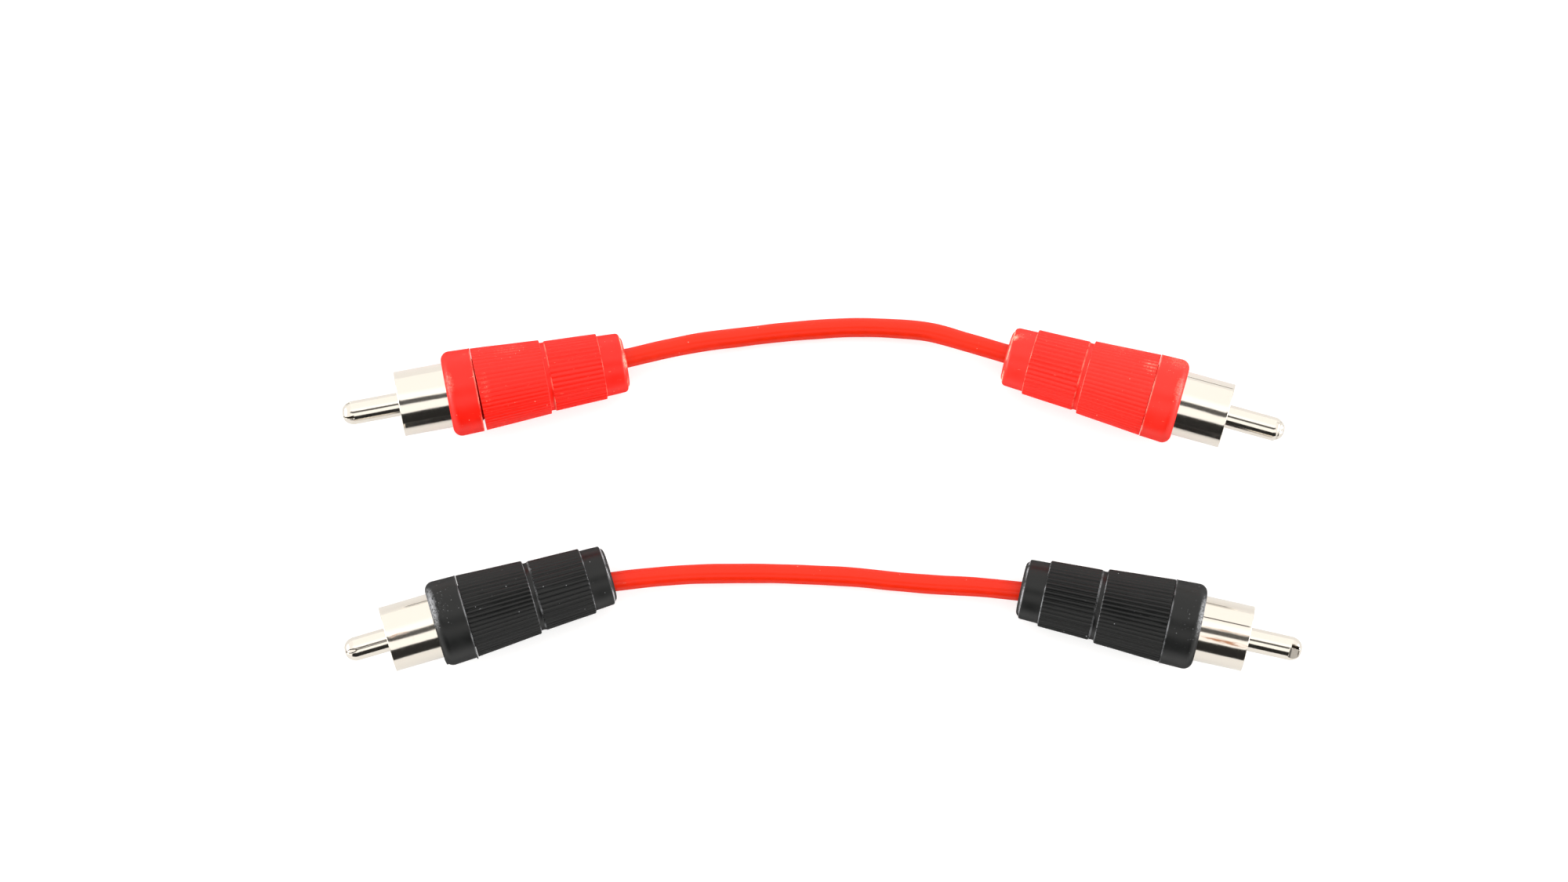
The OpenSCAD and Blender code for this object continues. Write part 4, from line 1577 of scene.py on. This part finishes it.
@dataclass
class Plug:
    """One phono plug with its shells, metal pieces and wires.

    Attributes:
        spot: Where it lies and what is particular to it.
        effects: Shared shader effects.
        trees: Geometry node trees.
        materials: Its materials by their names.
    """

    spot: PlugSpot
    effects: Effects
    trees: Modifiers
    materials: dict[str, bpy.types.Material] = field(default_factory=dict)

    @property
    def size(self) -> PlugSizes:
        """Its sizes."""
        return self.spot.size

    def finish(self, finish: Finish, own: bool = True) -> bpy.types.Material:
        """Gives this plug's material for a finish.

        Args:
            finish: The finish.
            own: Whether the mesh holds its own place, which the frame's nodes don't.

        Returns:
            The material.
        """
        key = f"{self.spot.name}_{finish.slot}" + ("" if own else "_cad")
        if key not in self.materials:
            marks = self.spot.streaks if isinstance(finish, MetalFinish) else self.spot.scuffs
            if isinstance(finish, PlasticFinish) and own:
                finish = finish.faded(self.spot.fade)
            marks = marks if own else ()
            self.materials[key] = finish.material(key, self.effects, own, self.spot.seed, marks)
        return self.materials[key]

    def place(self, piece: bpy.types.Object, node: str, finish: Finish) -> None:
        """Dresses a piece, and lets it ride and stand for its node.

        Args:
            piece: The piece.
            node: What it stands for, without the plug's name.
            finish: Its finish.
        """
        name = f"{self.spot.name}_{node}"
        piece.data.materials.clear()
        piece.data.materials.append(self.finish(finish))
        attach(piece, f"{self.spot.name}_cap" if node == "screw_cap" else "leads")
        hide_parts(name)
        LOG.info("%s: %d faces", piece.name, len(piece.data.polygons))

    def build(self) -> None:
        """Builds and dresses every piece of the plug."""
        shell = SHELL_FINISH[self.spot.shell]
        self.place(self.collar(), "collar", shell)
        self.place(self.sleeve(), "ground_sleeve", NICKEL)
        self.place(self.pin(), "centre_pin", NICKEL)
        self.place(self.cap(), "screw_cap", shell)
        self.place(self.strands(), "shield_strands", COPPER)
        kept = {"insulator": INSULATION, "ground_tag": NICKEL, "pin_solder": SOLDER,
                "shield_solder": SOLDER, "core": CORE, "conductor": COPPER}
        for node, finish in kept.items():
            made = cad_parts[f"{self.spot.name}_{node}"]
            for slot in made.material_slots:
                slot.material = self.finish(finish, own=False)
            LOG.info("%s: kept and dressed", made.name)

    def collar(self) -> bpy.types.Object:
        """Builds the collar with its pocket and its threaded spigot.

        Returns:
            The piece.
        """
        z = self.size
        r, rear, back, edge = z.collar_r, z.collar_rear_r, z.collar_round, z.edge_round
        pocket = z.sleeve_r + z.press_gap
        bore = z.spigot_r - z.spigot_wall
        tail = -z.spigot_len
        rings = [Ring(0, z.spigot_r), Ring(0, rear - z.rear_flat)]
        # Partly rubbing, partly a painted highlight along the joint with the cap.
        rings += rounded(edge, rear - edge, edge, 180, 90, 3, worn=0.42)
        rings += [Ring(z.collar_len * 0.4, (rear + r) / 2), Ring(z.collar_len - back - 0.05, r)]
        rings += rounded(z.collar_len - back, r - back, back, 90, 0, 14)
        rings += [Ring(z.collar_len, pocket + edge, worn=0.3), Ring(z.collar_len - 0.06, pocket)]
        rings += [Ring(z.collar_floor, pocket), Ring(z.collar_floor, bore), Ring(tail + 0.15, bore)]
        rings += [Ring(tail, bore + 0.15), Ring(tail, z.spigot_r - z.rear_flat)]
        for s, fade in thread(tail + 0.25, z.spigot_len - 0.55, 56):
            radius = z.spigot_r - z.thread_depth * (1 - fade)
            rings.append(Ring(s, radius, thread=z.thread_depth * fade))
        seed = self.spot.seed

        def uneven(a: np.ndarray, s: np.ndarray, r0: np.ndarray) -> Turned:
            """Lets the moulding sink a little, and leaves the nibs on it.

            Args:
                a: Angle of each point.
                s: Its place along the plug.
                r0: Its radius.

            Returns:
                Its new place, radius and darkness.
            """
            sink = 0.02
            wave = 0.012 * np.sin(2 * a + seed) + 0.008 * np.sin(3 * a + 2 * seed + s)
            outside = (r0 > z.spigot_r + 0.3) & (s > 0.2)
            r1 = np.where(outside, r0 - sink + wave, r0)
            return s, r1 + sum(nib.rise(a, s, r0) for nib in self.spot.nibs), np.zeros_like(r0)

        lathe = Lathe(self.spot, rings, 192, z.thread_pitch, shape=uneven)
        return facing_out(lathe.build(f"{self.spot.name}_collar_moulding"))

    def sleeve(self) -> bpy.types.Object:
        """Builds the rolled ground sleeve with its seams.

        Returns:
            The piece.
        """
        z = self.size
        outer, inner = z.sleeve_r, z.sleeve_r - z.sleeve_wall
        hole, edge, bend = z.bush_r + z.slip_gap, z.edge_round, z.base_round
        base, floor, front = z.base_at, z.base_at + z.sleeve_base, z.sleeve_front
        rings = [Ring(base, hole), Ring(base, outer - bend)]
        rings += rounded(base + bend, outer - bend, bend, 180, 90, 4)
        rings += [Ring(z.collar_len * 0.8, outer), Ring(z.collar_len + 0.2, outer)]
        rings += [Ring(s, outer) for s in np.linspace(z.collar_len + 0.8, front - 0.4, 12)]
        rings += rounded(front - edge, outer - edge, edge, 90, 0, 4)
        rings += rounded(front - edge, inner + edge, edge, 0, -90, 4)
        rings += [Ring(front - 0.6, inner), Ring((front + floor) / 2, inner)]
        rings += [Ring(floor + 0.15, inner), Ring(floor, inner - 0.15)]
        rings += [Ring(floor, hole + 0.05), Ring(floor - 0.05, hole)]
        seams, width = self.spot.seams, z.seam_width
        extra = tuple(angle + k * width for angle, *_ in seams for k in (-1, -0.55, 0, 0.55, 1))
        seed = self.spot.seed

        def rolled(a: np.ndarray, s: np.ndarray, r0: np.ndarray) -> Turned:
            """Waves the sheet a little and opens its seams.

            Args:
                a: Angle of each point.
                s: Its place along the plug.
                r0: Its radius.

            Returns:
                Its new place, radius and darkness.
            """
            sink = 0.012
            wave = 0.014 * np.sin(2 * a + seed) + 0.006 * np.sin(5 * a + 3 * seed + 0.5 * s)
            skin = (s > z.collar_len) & (s < front - 0.2)
            outside = (r0 > outer - 0.01) & skin
            r1 = np.where(skin, r0 + wave - sink, r0)
            dark = np.zeros_like(r0)
            for angle, start, end, depth in seams:
                off = np.abs(angle_from(a, angle)) / math.radians(width)
                line = np.clip(1.2 - off, 0, 1) * outside * (s >= start) * (s <= end)
                r1 = r1 - depth * line
                dark = np.maximum(dark, line)
            return s, r1, dark

        lathe = Lathe(self.spot, rings, 256, shape=rolled, extra=extra)
        return facing_out(lathe.build(f"{self.spot.name}_sleeve_drawn"))

    def pin(self) -> bpy.types.Object:
        """Builds the rolled centre pin, with its nose pressed in from petals.

        Returns:
            The piece.
        """
        z, spot = self.size, self.spot
        tip = z.sleeve_front + z.pin_out - spot.pin_in
        shoulder = tip - z.nose_len
        spread = z.pin_r - z.nose_tip_r
        tail, edge, axis = -z.shank_tail, z.edge_round, 0.02
        cup_end, lip = tail + z.cup_depth, 0.08
        rings = [Ring(cup_end, axis), Ring(cup_end, z.cup_r), Ring(tail + lip, z.cup_r)]
        rings += [Ring(tail, z.cup_r + lip), Ring(tail, z.shank_r - lip)]
        rings += [Ring(tail + lip, z.shank_r), Ring(z.face_at, z.shank_r)]
        rings += [Ring(z.face_at, z.pin_r - edge), Ring(z.face_at + edge, z.pin_r)]
        rings += [Ring(s, z.pin_r) for s in np.linspace(z.face_at + 1.5, shoulder - 1.2, 8)]
        rings += [Ring(s, z.pin_r) for s in np.linspace(shoulder - 0.9, shoulder, 12)]
        for i in range(1, 25):
            a = math.radians(90 * i / 24)
            radius = z.nose_tip_r * (1 - i / 60) + spread * math.cos(a)
            rings.append(Ring(shoulder + z.nose_len * math.sin(a), radius))
        rings += [Ring(tip - 0.04, 0.3), Ring(tip - 0.12, axis)]

        def petals(a: np.ndarray, s: np.ndarray, r0: np.ndarray) -> Turned:
            """Presses the nose in, makes the cuts, and paints shade into a crimped nose's crease
            and dent.

            Args:
                a: Angle of each point.
                s: Its place along the plug.
                r0: Its radius.

            Returns:
                Its new place, radius and darkness.
            """
            t = np.clip((s - shoulder) / z.nose_len, 0, 1)
            skin = (r0 > 0.25) & (s > z.face_at)
            dark = np.zeros_like(r0)
            if spot.nose is Nose.CRIMPED:
                crease_at, pinch_at = 0.65, 1.02
                along = s - shoulder
                crease = np.exp(-((along - crease_at) / 0.09) ** 2) * skin
                pinch = np.exp(-((along - pinch_at) / 0.06) ** 2 - angle_from(a, 0) ** 2 / 0.13)
                pinch = pinch * skin
                folds = t * (0.05 + 0.07 * np.cos(2 * a) ** 2) * skin
                r0 = r0 - folds - 0.06 * crease - 0.12 * pinch
                # Painted shade: the crease round the nose and the dent on top are darkened.
                dark = np.maximum(0.35 * crease, 0.9 * pinch)
            if spot.nose is Nose.FACETED:
                facet_turn, facet_r, slant = -31, 1.45, 0.7
                facing = np.maximum(np.cos(angle_from(a, facet_turn)), 0.3)
                flat = (facet_r - slant * t) / facing
                inside = skin & (s > shoulder - 0.2) & (t < 0.76) & (flat < r0)
                r0, dark = np.where(inside, flat, r0), np.where(inside, 0.5, 0.0)
            r1 = r0.copy()
            for cut in spot.cuts:
                u = np.clip((s - cut.start) / (cut.end - cut.start), 0, 1)
                off = np.abs(angle_from(a, cut.turn) * r0)
                off = np.abs(off - cut.leaf * np.sin(np.pi * u) ** 0.8)
                half = cut.half + (cut.taper - cut.half) * u
                inside = (s > cut.start - 0.02) * (s < cut.end + 0.02)
                line = np.clip(1.5 - off / half, 0, 1) * skin * inside
                r1 = r1 - cut.depth * line * np.minimum(1, r0)
                dark = np.maximum(dark, cut.dark * line)
            return s, np.maximum(r1, 0.015), dark

        turns = tuple(cut.turn + 1.2 * k for cut in spot.cuts for k in range(-11, 12))
        lathe = Lathe(spot, rings, 120, extra=turns, shape=petals, capped=True)
        return facing_out(lathe.build(f"{spot.name}_pin_rolled"))

    def cap_rings(self) -> list[Ring]:
        """Gives the screw cap's outline: bands, ring, neck and boss, then the inside.

        Returns:
            The rings.
        """
        z, share = self.size, self.spot.rib_share
        rib = min(z.rib1_depth * share[0], z.rib2_depth * share[1])
        band2, neck = z.band1_len + z.ring_len, z.neck_from
        end, curve = neck + z.neck_len, z.neck_round
        bore = z.spigot_r + z.screw_gap
        front = Band("band1", 0, z.band1_len, z.band1_r, z.band1_rear_r, z.front_edge, rib, 0.45)
        rear = Band("band2", band2, z.band2_len, z.band2_r, z.band2_rear_r, rib, rib, 0.7)
        rings = [Ring(0, bore + 0.2), Ring(0, z.band1_r - 0.5)] + front.rings()
        band1 = z.band1_len
        rings += [Ring(-band1 - 0.02, z.ring_r + 0.14), Ring(-band1 - 0.06, z.ring_r + 0.02)]
        rings += [Ring(-band1 - 0.2, z.ring_r - 0.01), Ring(-band2 + 0.2, z.ring_r - 0.01)]
        # The fillet before the second band is pale: partly rubbing, partly a painted highlight.
        rings += [Ring(-band2 + 0.1, z.ring_r + 0.02, worn=0.4)]
        rings += [Ring(-band2 + 0.02, z.ring_r + 0.1, worn=0.6)]
        rings += rear.rings()
        rings += [Ring(-neck - 0.01, z.neck_r + 0.12, worn=0.6)]
        rings += [Ring(-neck - 0.06, z.neck_r + 0.02), Ring(-neck - 0.2, z.neck_r)]
        rings += [Ring(-neck - 1.2, z.neck_r - 0.03)]
        rings += rounded(-end + curve, z.neck_rear_r - curve, curve, 90, 135, 4)
        rings += rounded(-end + curve, z.neck_rear_r - curve, curve, 140, 180, 4, worn=1.0)
        for i in range(13):
            part = (i / 12) ** 1.6
            bulge = z.boss_len * (1 - (1 - part) ** 4)
            radius = z.boss_r - (z.boss_r - z.cable_hole_r) * part
            rings.append(Ring(-end - bulge, radius, worn=0.7 if i < 3 else 0.0))
        hole = z.cable_hole_r
        rings += [Ring(-z.cap_len + 0.02, hole + 0.04, worn=0.3), Ring(-z.cap_len + 0.08, hole)]
        rings += [Ring(-end + z.end_wall, hole), Ring(-end + z.end_wall, z.room_r)]
        rings += [Ring(-z.screw_depth, z.room_r), Ring(-z.screw_depth, bore)]
        for s, fade in thread(-z.screw_depth + 0.3, z.screw_depth - 0.7, 60):
            rings.append(Ring(s, bore + z.bore_relief * fade, thread=z.bore_thread * fade))
        rings.append(Ring(-0.15, bore + 0.05))
        for ring in rings:
            ring.s -= self.spot.gap
        return rings

    def cap(self) -> bpy.types.Object:
        """Builds the ribbed screw cap with its threaded bore.

        Returns:
            The piece.
        """
        z, spot = self.size, self.spot
        seed = spot.seed

        def uneven(a: np.ndarray, s: np.ndarray, r0: np.ndarray) -> Turned:
            """Lets the outside sink a little, and brings a loose cap near the collar on one side.

            Args:
                a: Angle of each point.
                s: Its place along the plug.
                r0: Its radius.

            Returns:
                Its new place, radius and darkness.
            """
            sink, loose_gap, stay, reach = 0.015, 0.2, 0.06, 1.5
            wave = 0.010 * np.sin(2 * a + seed) + 0.006 * np.sin(3 * a + seed + s)
            lean = 0.62 + 0.38 * np.cos(a - math.radians(spot.near_turn))
            near = 1.0 if spot.gap < loose_gap else lean
            front = np.clip((s + spot.gap + reach) / reach, 0, 1) * (r0 > 4.6)
            r1 = np.where(r0 > 3.9, r0 - sink + wave, r0)
            r1 = r1 + sum(nib.rise(a, s, r0) for nib in spot.nibs)
            return s + (spot.gap - stay) * near * front, r1, np.zeros_like(r0)

        lathe = Lathe(spot, self.cap_rings(), 616, z.thread_pitch, shape=uneven)
        piece = facing_out(lathe.build(f"{spot.name}_cap_ribbed"))
        matrix = spot.matrix()
        axis = (matrix.to_3x3() @ Vector((1, 0, 0))).normalized()
        values = {"Ribs 1": float(z.band1_ribs), "Ribs 2": float(z.band2_ribs),
                  "Flatness 1": z.rib1_flat, "Flatness 2": z.rib2_flat,
                  "Depth 1": z.rib1_depth * spot.rib_share[0] * MM,
                  "Depth 2": z.rib2_depth * spot.rib_share[1] * MM,
                  "Axis Point": tuple(matrix.translation * MM), "Axis": tuple(axis), "Seed": seed}
        self.trees.apply(piece, self.trees.ribs, values)
        piece.data.set_sharp_from_angle(angle=math.radians(50))
        return piece

    def strands(self) -> bpy.types.Object:
        """Twists the shield strands from the jacket to the solder on the tag.

        Returns:
            The piece.
        """
        z, spot = self.size, self.spot
        turn = Matrix.Rotation(math.radians(spot.tag_turn), 4, "X")
        height = -z.arm_inner + z.shield_r + z.slip_gap
        points = []
        for s in np.linspace(-z.clamp_from + z.slip_gap, -z.shield_solder_at - z.slip_gap, 12):
            points.append(tuple((spot.matrix() @ (turn @ Vector((s, 0, height)))) * MM))
        mesh = bpy.data.meshes.new(f"{spot.name}_strands_twisted")
        mesh.from_pydata(points, [(i, i + 1) for i in range(len(points) - 1)], [])
        values = {"Strand Radius": 0.085 * MM, "Twist Radius": 0.16 * MM}
        return self.trees.apply(new_object(mesh.name, mesh), self.trees.strands, values)


# --------------------------------------------------------------------------- the cables


@dataclass
class Cable:
    """One lead's jacket, from the clamp of one plug to that of the other.

    Attributes:
        name: The lead's name.
        left: Its left plug.
        right: Its right plug.
        run: The free run's points, in metres.
        effects: Shared shader effects.
        seed: Offset of its patterns.
        sides: Corners of the tube.
        step: Distance between rings, in metres.
    """

    name: str
    left: PlugSpot
    right: PlugSpot
    run: tuple[Point, ...]
    effects: Effects
    seed: float
    sides: int = 40
    step: float = 0.0004

    @staticmethod
    def held(plug: PlugSpot) -> list[np.ndarray]:
        """Gives the points inside a plug, from the clamp to the hole.

        Args:
            plug: The plug.

        Returns:
            The points, in metres.
        """
        z = plug.size
        clamp_to = z.clamp_from + z.clamp_len
        places = ((-z.clamp_from + z.slip_gap, 0.0), (-clamp_to, 0.0),
                  (-(clamp_to + plug.reach) / 2, 0.25), (-plug.reach, 1.0))
        return [np.array(plug.cable_point(s, share)) * MM for s, share in places]

    def route(self) -> np.ndarray:
        """Runs one smooth curve through every point.

        Returns:
            Points at equal steps, in metres.
        """
        free = [np.array(point) for point in self.run]
        knots = np.array(self.held(self.left) + free + self.held(self.right)[::-1])
        apart = np.linalg.norm(np.diff(knots, axis=0), axis=1)
        lengths = np.concatenate([[0], np.cumsum(apart**0.5)])
        slopes = np.gradient(knots, lengths, axis=0)
        fine = []
        for i in range(len(knots) - 1):
            h = lengths[i + 1] - lengths[i]
            t = np.linspace(0, 1, 24, endpoint=False)[:, None]
            fine.append((2 * t**3 - 3 * t**2 + 1) * knots[i] + (t**3 - 2 * t**2 + t) * h * slopes[i]
                        + (-2 * t**3 + 3 * t**2) * knots[i + 1] + (t**3 - t**2) * h * slopes[i + 1])
        fine.append(knots[-1:])
        curve = np.vstack(fine)
        run = np.concatenate([[0], np.cumsum(np.linalg.norm(np.diff(curve, axis=0), axis=1))])
        marks = np.linspace(0, run[-1], int(run[-1] / self.step) + 1)
        return np.stack([np.interp(marks, run, curve[:, k]) for k in range(3)], -1)

    def tube(self, path: np.ndarray) -> bpy.types.Object:
        """Makes the jacket's mesh, which swells a little and is pinched by the clamps.

        Args:
            path: Points at equal steps, in metres.

        Returns:
            The piece.
        """
        way = np.gradient(path, axis=0)
        way /= np.linalg.norm(way, axis=1)[:, None]
        across = np.cross([0.0, 0.0, 1.0], way)
        across /= np.linalg.norm(across, axis=1)[:, None]
        up = np.cross(way, across)
        turn = np.arange(self.sides) * math.tau / self.sides
        run = np.arange(len(path)) * self.step / MM
        phases = np.random.default_rng(int(self.seed * 10)).uniform(0, math.tau, 4)
        swell = 0.012 * np.sin(run * 0.42 + phases[0]) + 0.008 * np.sin(run * 1.1 + phases[1])
        oval = 0.010 * np.sin(2 * turn + phases[2] + run[:, None] * 0.1)
        size = self.left.size
        radius = size.cable_r - size.skin_gap + swell[:, None] + oval
        ends = np.minimum(1.0, 0.9 + np.minimum(run, run[-1] - run) / 1.5)[:, None]
        radius = radius * ends * MM
        cos, sin = np.cos(turn)[None, :, None], np.sin(turn)[None, :, None]
        points = path[:, None] + radius[..., None] * (cos * across[:, None] + sin * up[:, None])
        level = 0 * run[:, None]
        place = np.stack([run[:, None] + 0 * turn, size.cable_r * np.cos(turn) + level,
                          size.cable_r * np.sin(turn) + level], -1)
        faces = tube_faces(len(path), self.sides, False)
        unworn = {WORN_AND_HIGHLIGHT: np.zeros(len(path) * self.sides)}
        points, place = points.reshape(-1, 3), place.reshape(-1, 3)
        return facing_out(mesh_object(f"{self.name}_jacket", points, faces, place, unworn))

    def build(self) -> bpy.types.Object:
        """Returns:
            The piece.
        """
        path = self.route()
        piece = self.tube(path)
        name = f"{self.name}_{RED_JACKET.slot}"
        piece.data.materials.append(RED_JACKET.material(name, self.effects, seed=self.seed))
        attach(piece, "leads")
        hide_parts(f"{self.name}_cable")
        leaves = np.array(self.left.cable_point(-self.left.reach, 1.0)) * MM
        diameter = 2 * self.left.size.cable_r * MM
        return piece


# --------------------------------------------------------------------------- the studio


# How bright the studio's tent is by the angle in degrees from which light comes: 0 is straight up,
# -90 the near side and 90 the far side.
TENT: tuple[tuple[float, float], ...] = (
    (-180, 0.6), (-98, 0.6), (-92, 0.025), (-48, 0.025), (-45.5, 1.4), (-17.8, 1.4), (-15.8, 0.11),
    (-1, 0.11), (1.5, 1.6), (17, 1.6), (27, 1.35), (95, 1.35), (100, 1.12), (180, 0.6),
)


@dataclass
class Studio:
    """Floor, light and camera.

    Attributes:
        elevation: Camera's height angle, in degrees.
        distance: From camera to target, in metres.
        target: What the middle of the picture shows, in metres.
        lens: Focal length for a 36 mm sensor, in mm.
        full: Brightness that the colours of the light are parts of.
        side_lamps: Brightness of the lamps low at both sides.
        lift: How far the paper is lifted towards white where it is seen.
        mirror_lift: The same where it is seen in metal or through glass.
    """

    elevation: float = 81.0
    distance: float = 0.431
    target: Point = (-0.0047, 0.0086, 0.0)
    lens: float = 72.0
    full: float = 4.0
    side_lamps: float = 7.0
    lift: float = 0.52
    mirror_lift: float = 0.18

    def camera(self) -> None:
        """Sets the camera high above the table, a little towards the near side."""
        data = bpy.data.cameras.new("camera")
        data.lens = self.lens
        data.sensor_width = 36.0
        data.sensor_fit = "HORIZONTAL"
        data.clip_start = 0.01
        data.clip_end = 20.0
        made = new_object("camera", data)
        tilt = math.radians(self.elevation)
        away = self.distance * Vector((0, -math.cos(tilt), math.sin(tilt)))
        made.location = Vector(self.target) + away
        made.rotation_euler = (math.radians(90) - tilt, 0, 0)
        bpy.context.scene.camera = made

    def floor(self) -> None:
        """Lays a plain white floor."""
        half = 1.5
        mesh = bpy.data.meshes.new("floor")
        corners = [(-half, -half, 0), (half, -half, 0), (half, half, 0), (-half, half, 0)]
        mesh.from_pydata(corners, [], [(0, 1, 2, 3)])
        made = new_object("floor", mesh)
        material = bpy.data.materials.new("paper")
        material.use_nodes = True
        graph = Graph(material.node_tree)
        paper = graph.node("ShaderNodeBsdfDiffuse", {"Color": (0.68, 0.68, 0.68, 1.0)})
        path = graph.node("ShaderNodeLightPath").outputs
        mirrored = graph.larger(path["Is Glossy Ray"], path["Is Transmission Ray"])
        direct = graph.times(path["Is Camera Ray"], self.lift)
        seen = graph.math("MULTIPLY_ADD", mirrored, self.mirror_lift, direct)
        white = graph.node("ShaderNodeEmission", {"Strength": seen})
        both = graph.node("ShaderNodeAddShader", {0: paper.outputs[0], 1: white.outputs[0]})
        graph.node("ShaderNodeOutputMaterial", {"Surface": both.outputs[0]})
        mesh.materials.append(material)

    def light(self) -> None:
        """Lights the scene with a white tent that is open and dark towards the viewer."""
        world = bpy.data.worlds.new("studio")
        bpy.context.scene.world = world
        world.use_nodes = True
        graph = Graph(world.node_tree)
        way = graph.node("ShaderNodeTexCoord").outputs["Generated"]
        ray = graph.node("ShaderNodeSeparateXYZ", {0: way})
        angle = graph.math("ARCTAN2", ray.outputs["Y"], ray.outputs["Z"])
        share = graph.plus(graph.math("DIVIDE", angle, math.tau), 0.5)
        ramp = graph.node("ShaderNodeValToRGB", {"Fac": share})
        ramp.color_ramp.interpolation = "LINEAR"
        elements = ramp.color_ramp.elements
        while len(elements) > 1:
            elements.remove(elements[-1])
        for i, (degrees, level) in enumerate(TENT):
            at, part = (degrees + 180) / 360, level / self.full
            made = elements[0] if i == 0 else elements.new(at)
            made.position = at
            made.color = (part, part * 0.985, part * 0.96, 1.0)
        sideways = graph.math("ABSOLUTE", ray.outputs["X"])
        beside = tuple(level / self.full for level in (1.25, 1.23, 1.2))
        tent = graph.blend(graph.step(sideways, 0.38, 0.5), ramp.outputs[0], color4(beside))
        lamp = self.side_lamps / self.full
        tent = graph.blend(graph.step(sideways, 0.86, 0.92), tent, color4((lamp, lamp, lamp)))
        scene_light = graph.node("ShaderNodeBackground", {"Color": tent, "Strength": self.full})
        seen = graph.node("ShaderNodeBackground", {"Color": (1.0, 1.0, 1.0, 1.0), "Strength": 1.0})
        direct = graph.node("ShaderNodeLightPath").outputs["Is Camera Ray"]
        values = {0: direct, 1: scene_light.outputs[0], 2: seen.outputs[0]}
        pick = graph.node("ShaderNodeMixShader", values)
        graph.node("ShaderNodeOutputWorld", {"Surface": pick.outputs[0]})

    def build(self) -> None:
        """Builds the whole studio."""
        self.camera()
        self.floor()
        self.light()
        view = bpy.context.scene.view_settings
        view.view_transform = "Standard"
        view.look = "None"


def main() -> None:
    """Builds the cables, the plugs and the studio."""
    logging.basicConfig(level=logging.INFO, format="%(name)s: %(message)s")
    Studio().build()
    effects = Effects()
    red_left, red_right, black_left, black_right = PLUGS
    Cable("red_lead", red_left, red_right, RED_RUN, effects, 3.1).build()
    Cable("black_lead", black_left, black_right, BLACK_RUN, effects, 5.7).build()
    trees = Modifiers()
    for spot in PLUGS:
        Plug(spot, effects, trees).build()


if __name__ == "__main__":
    main()
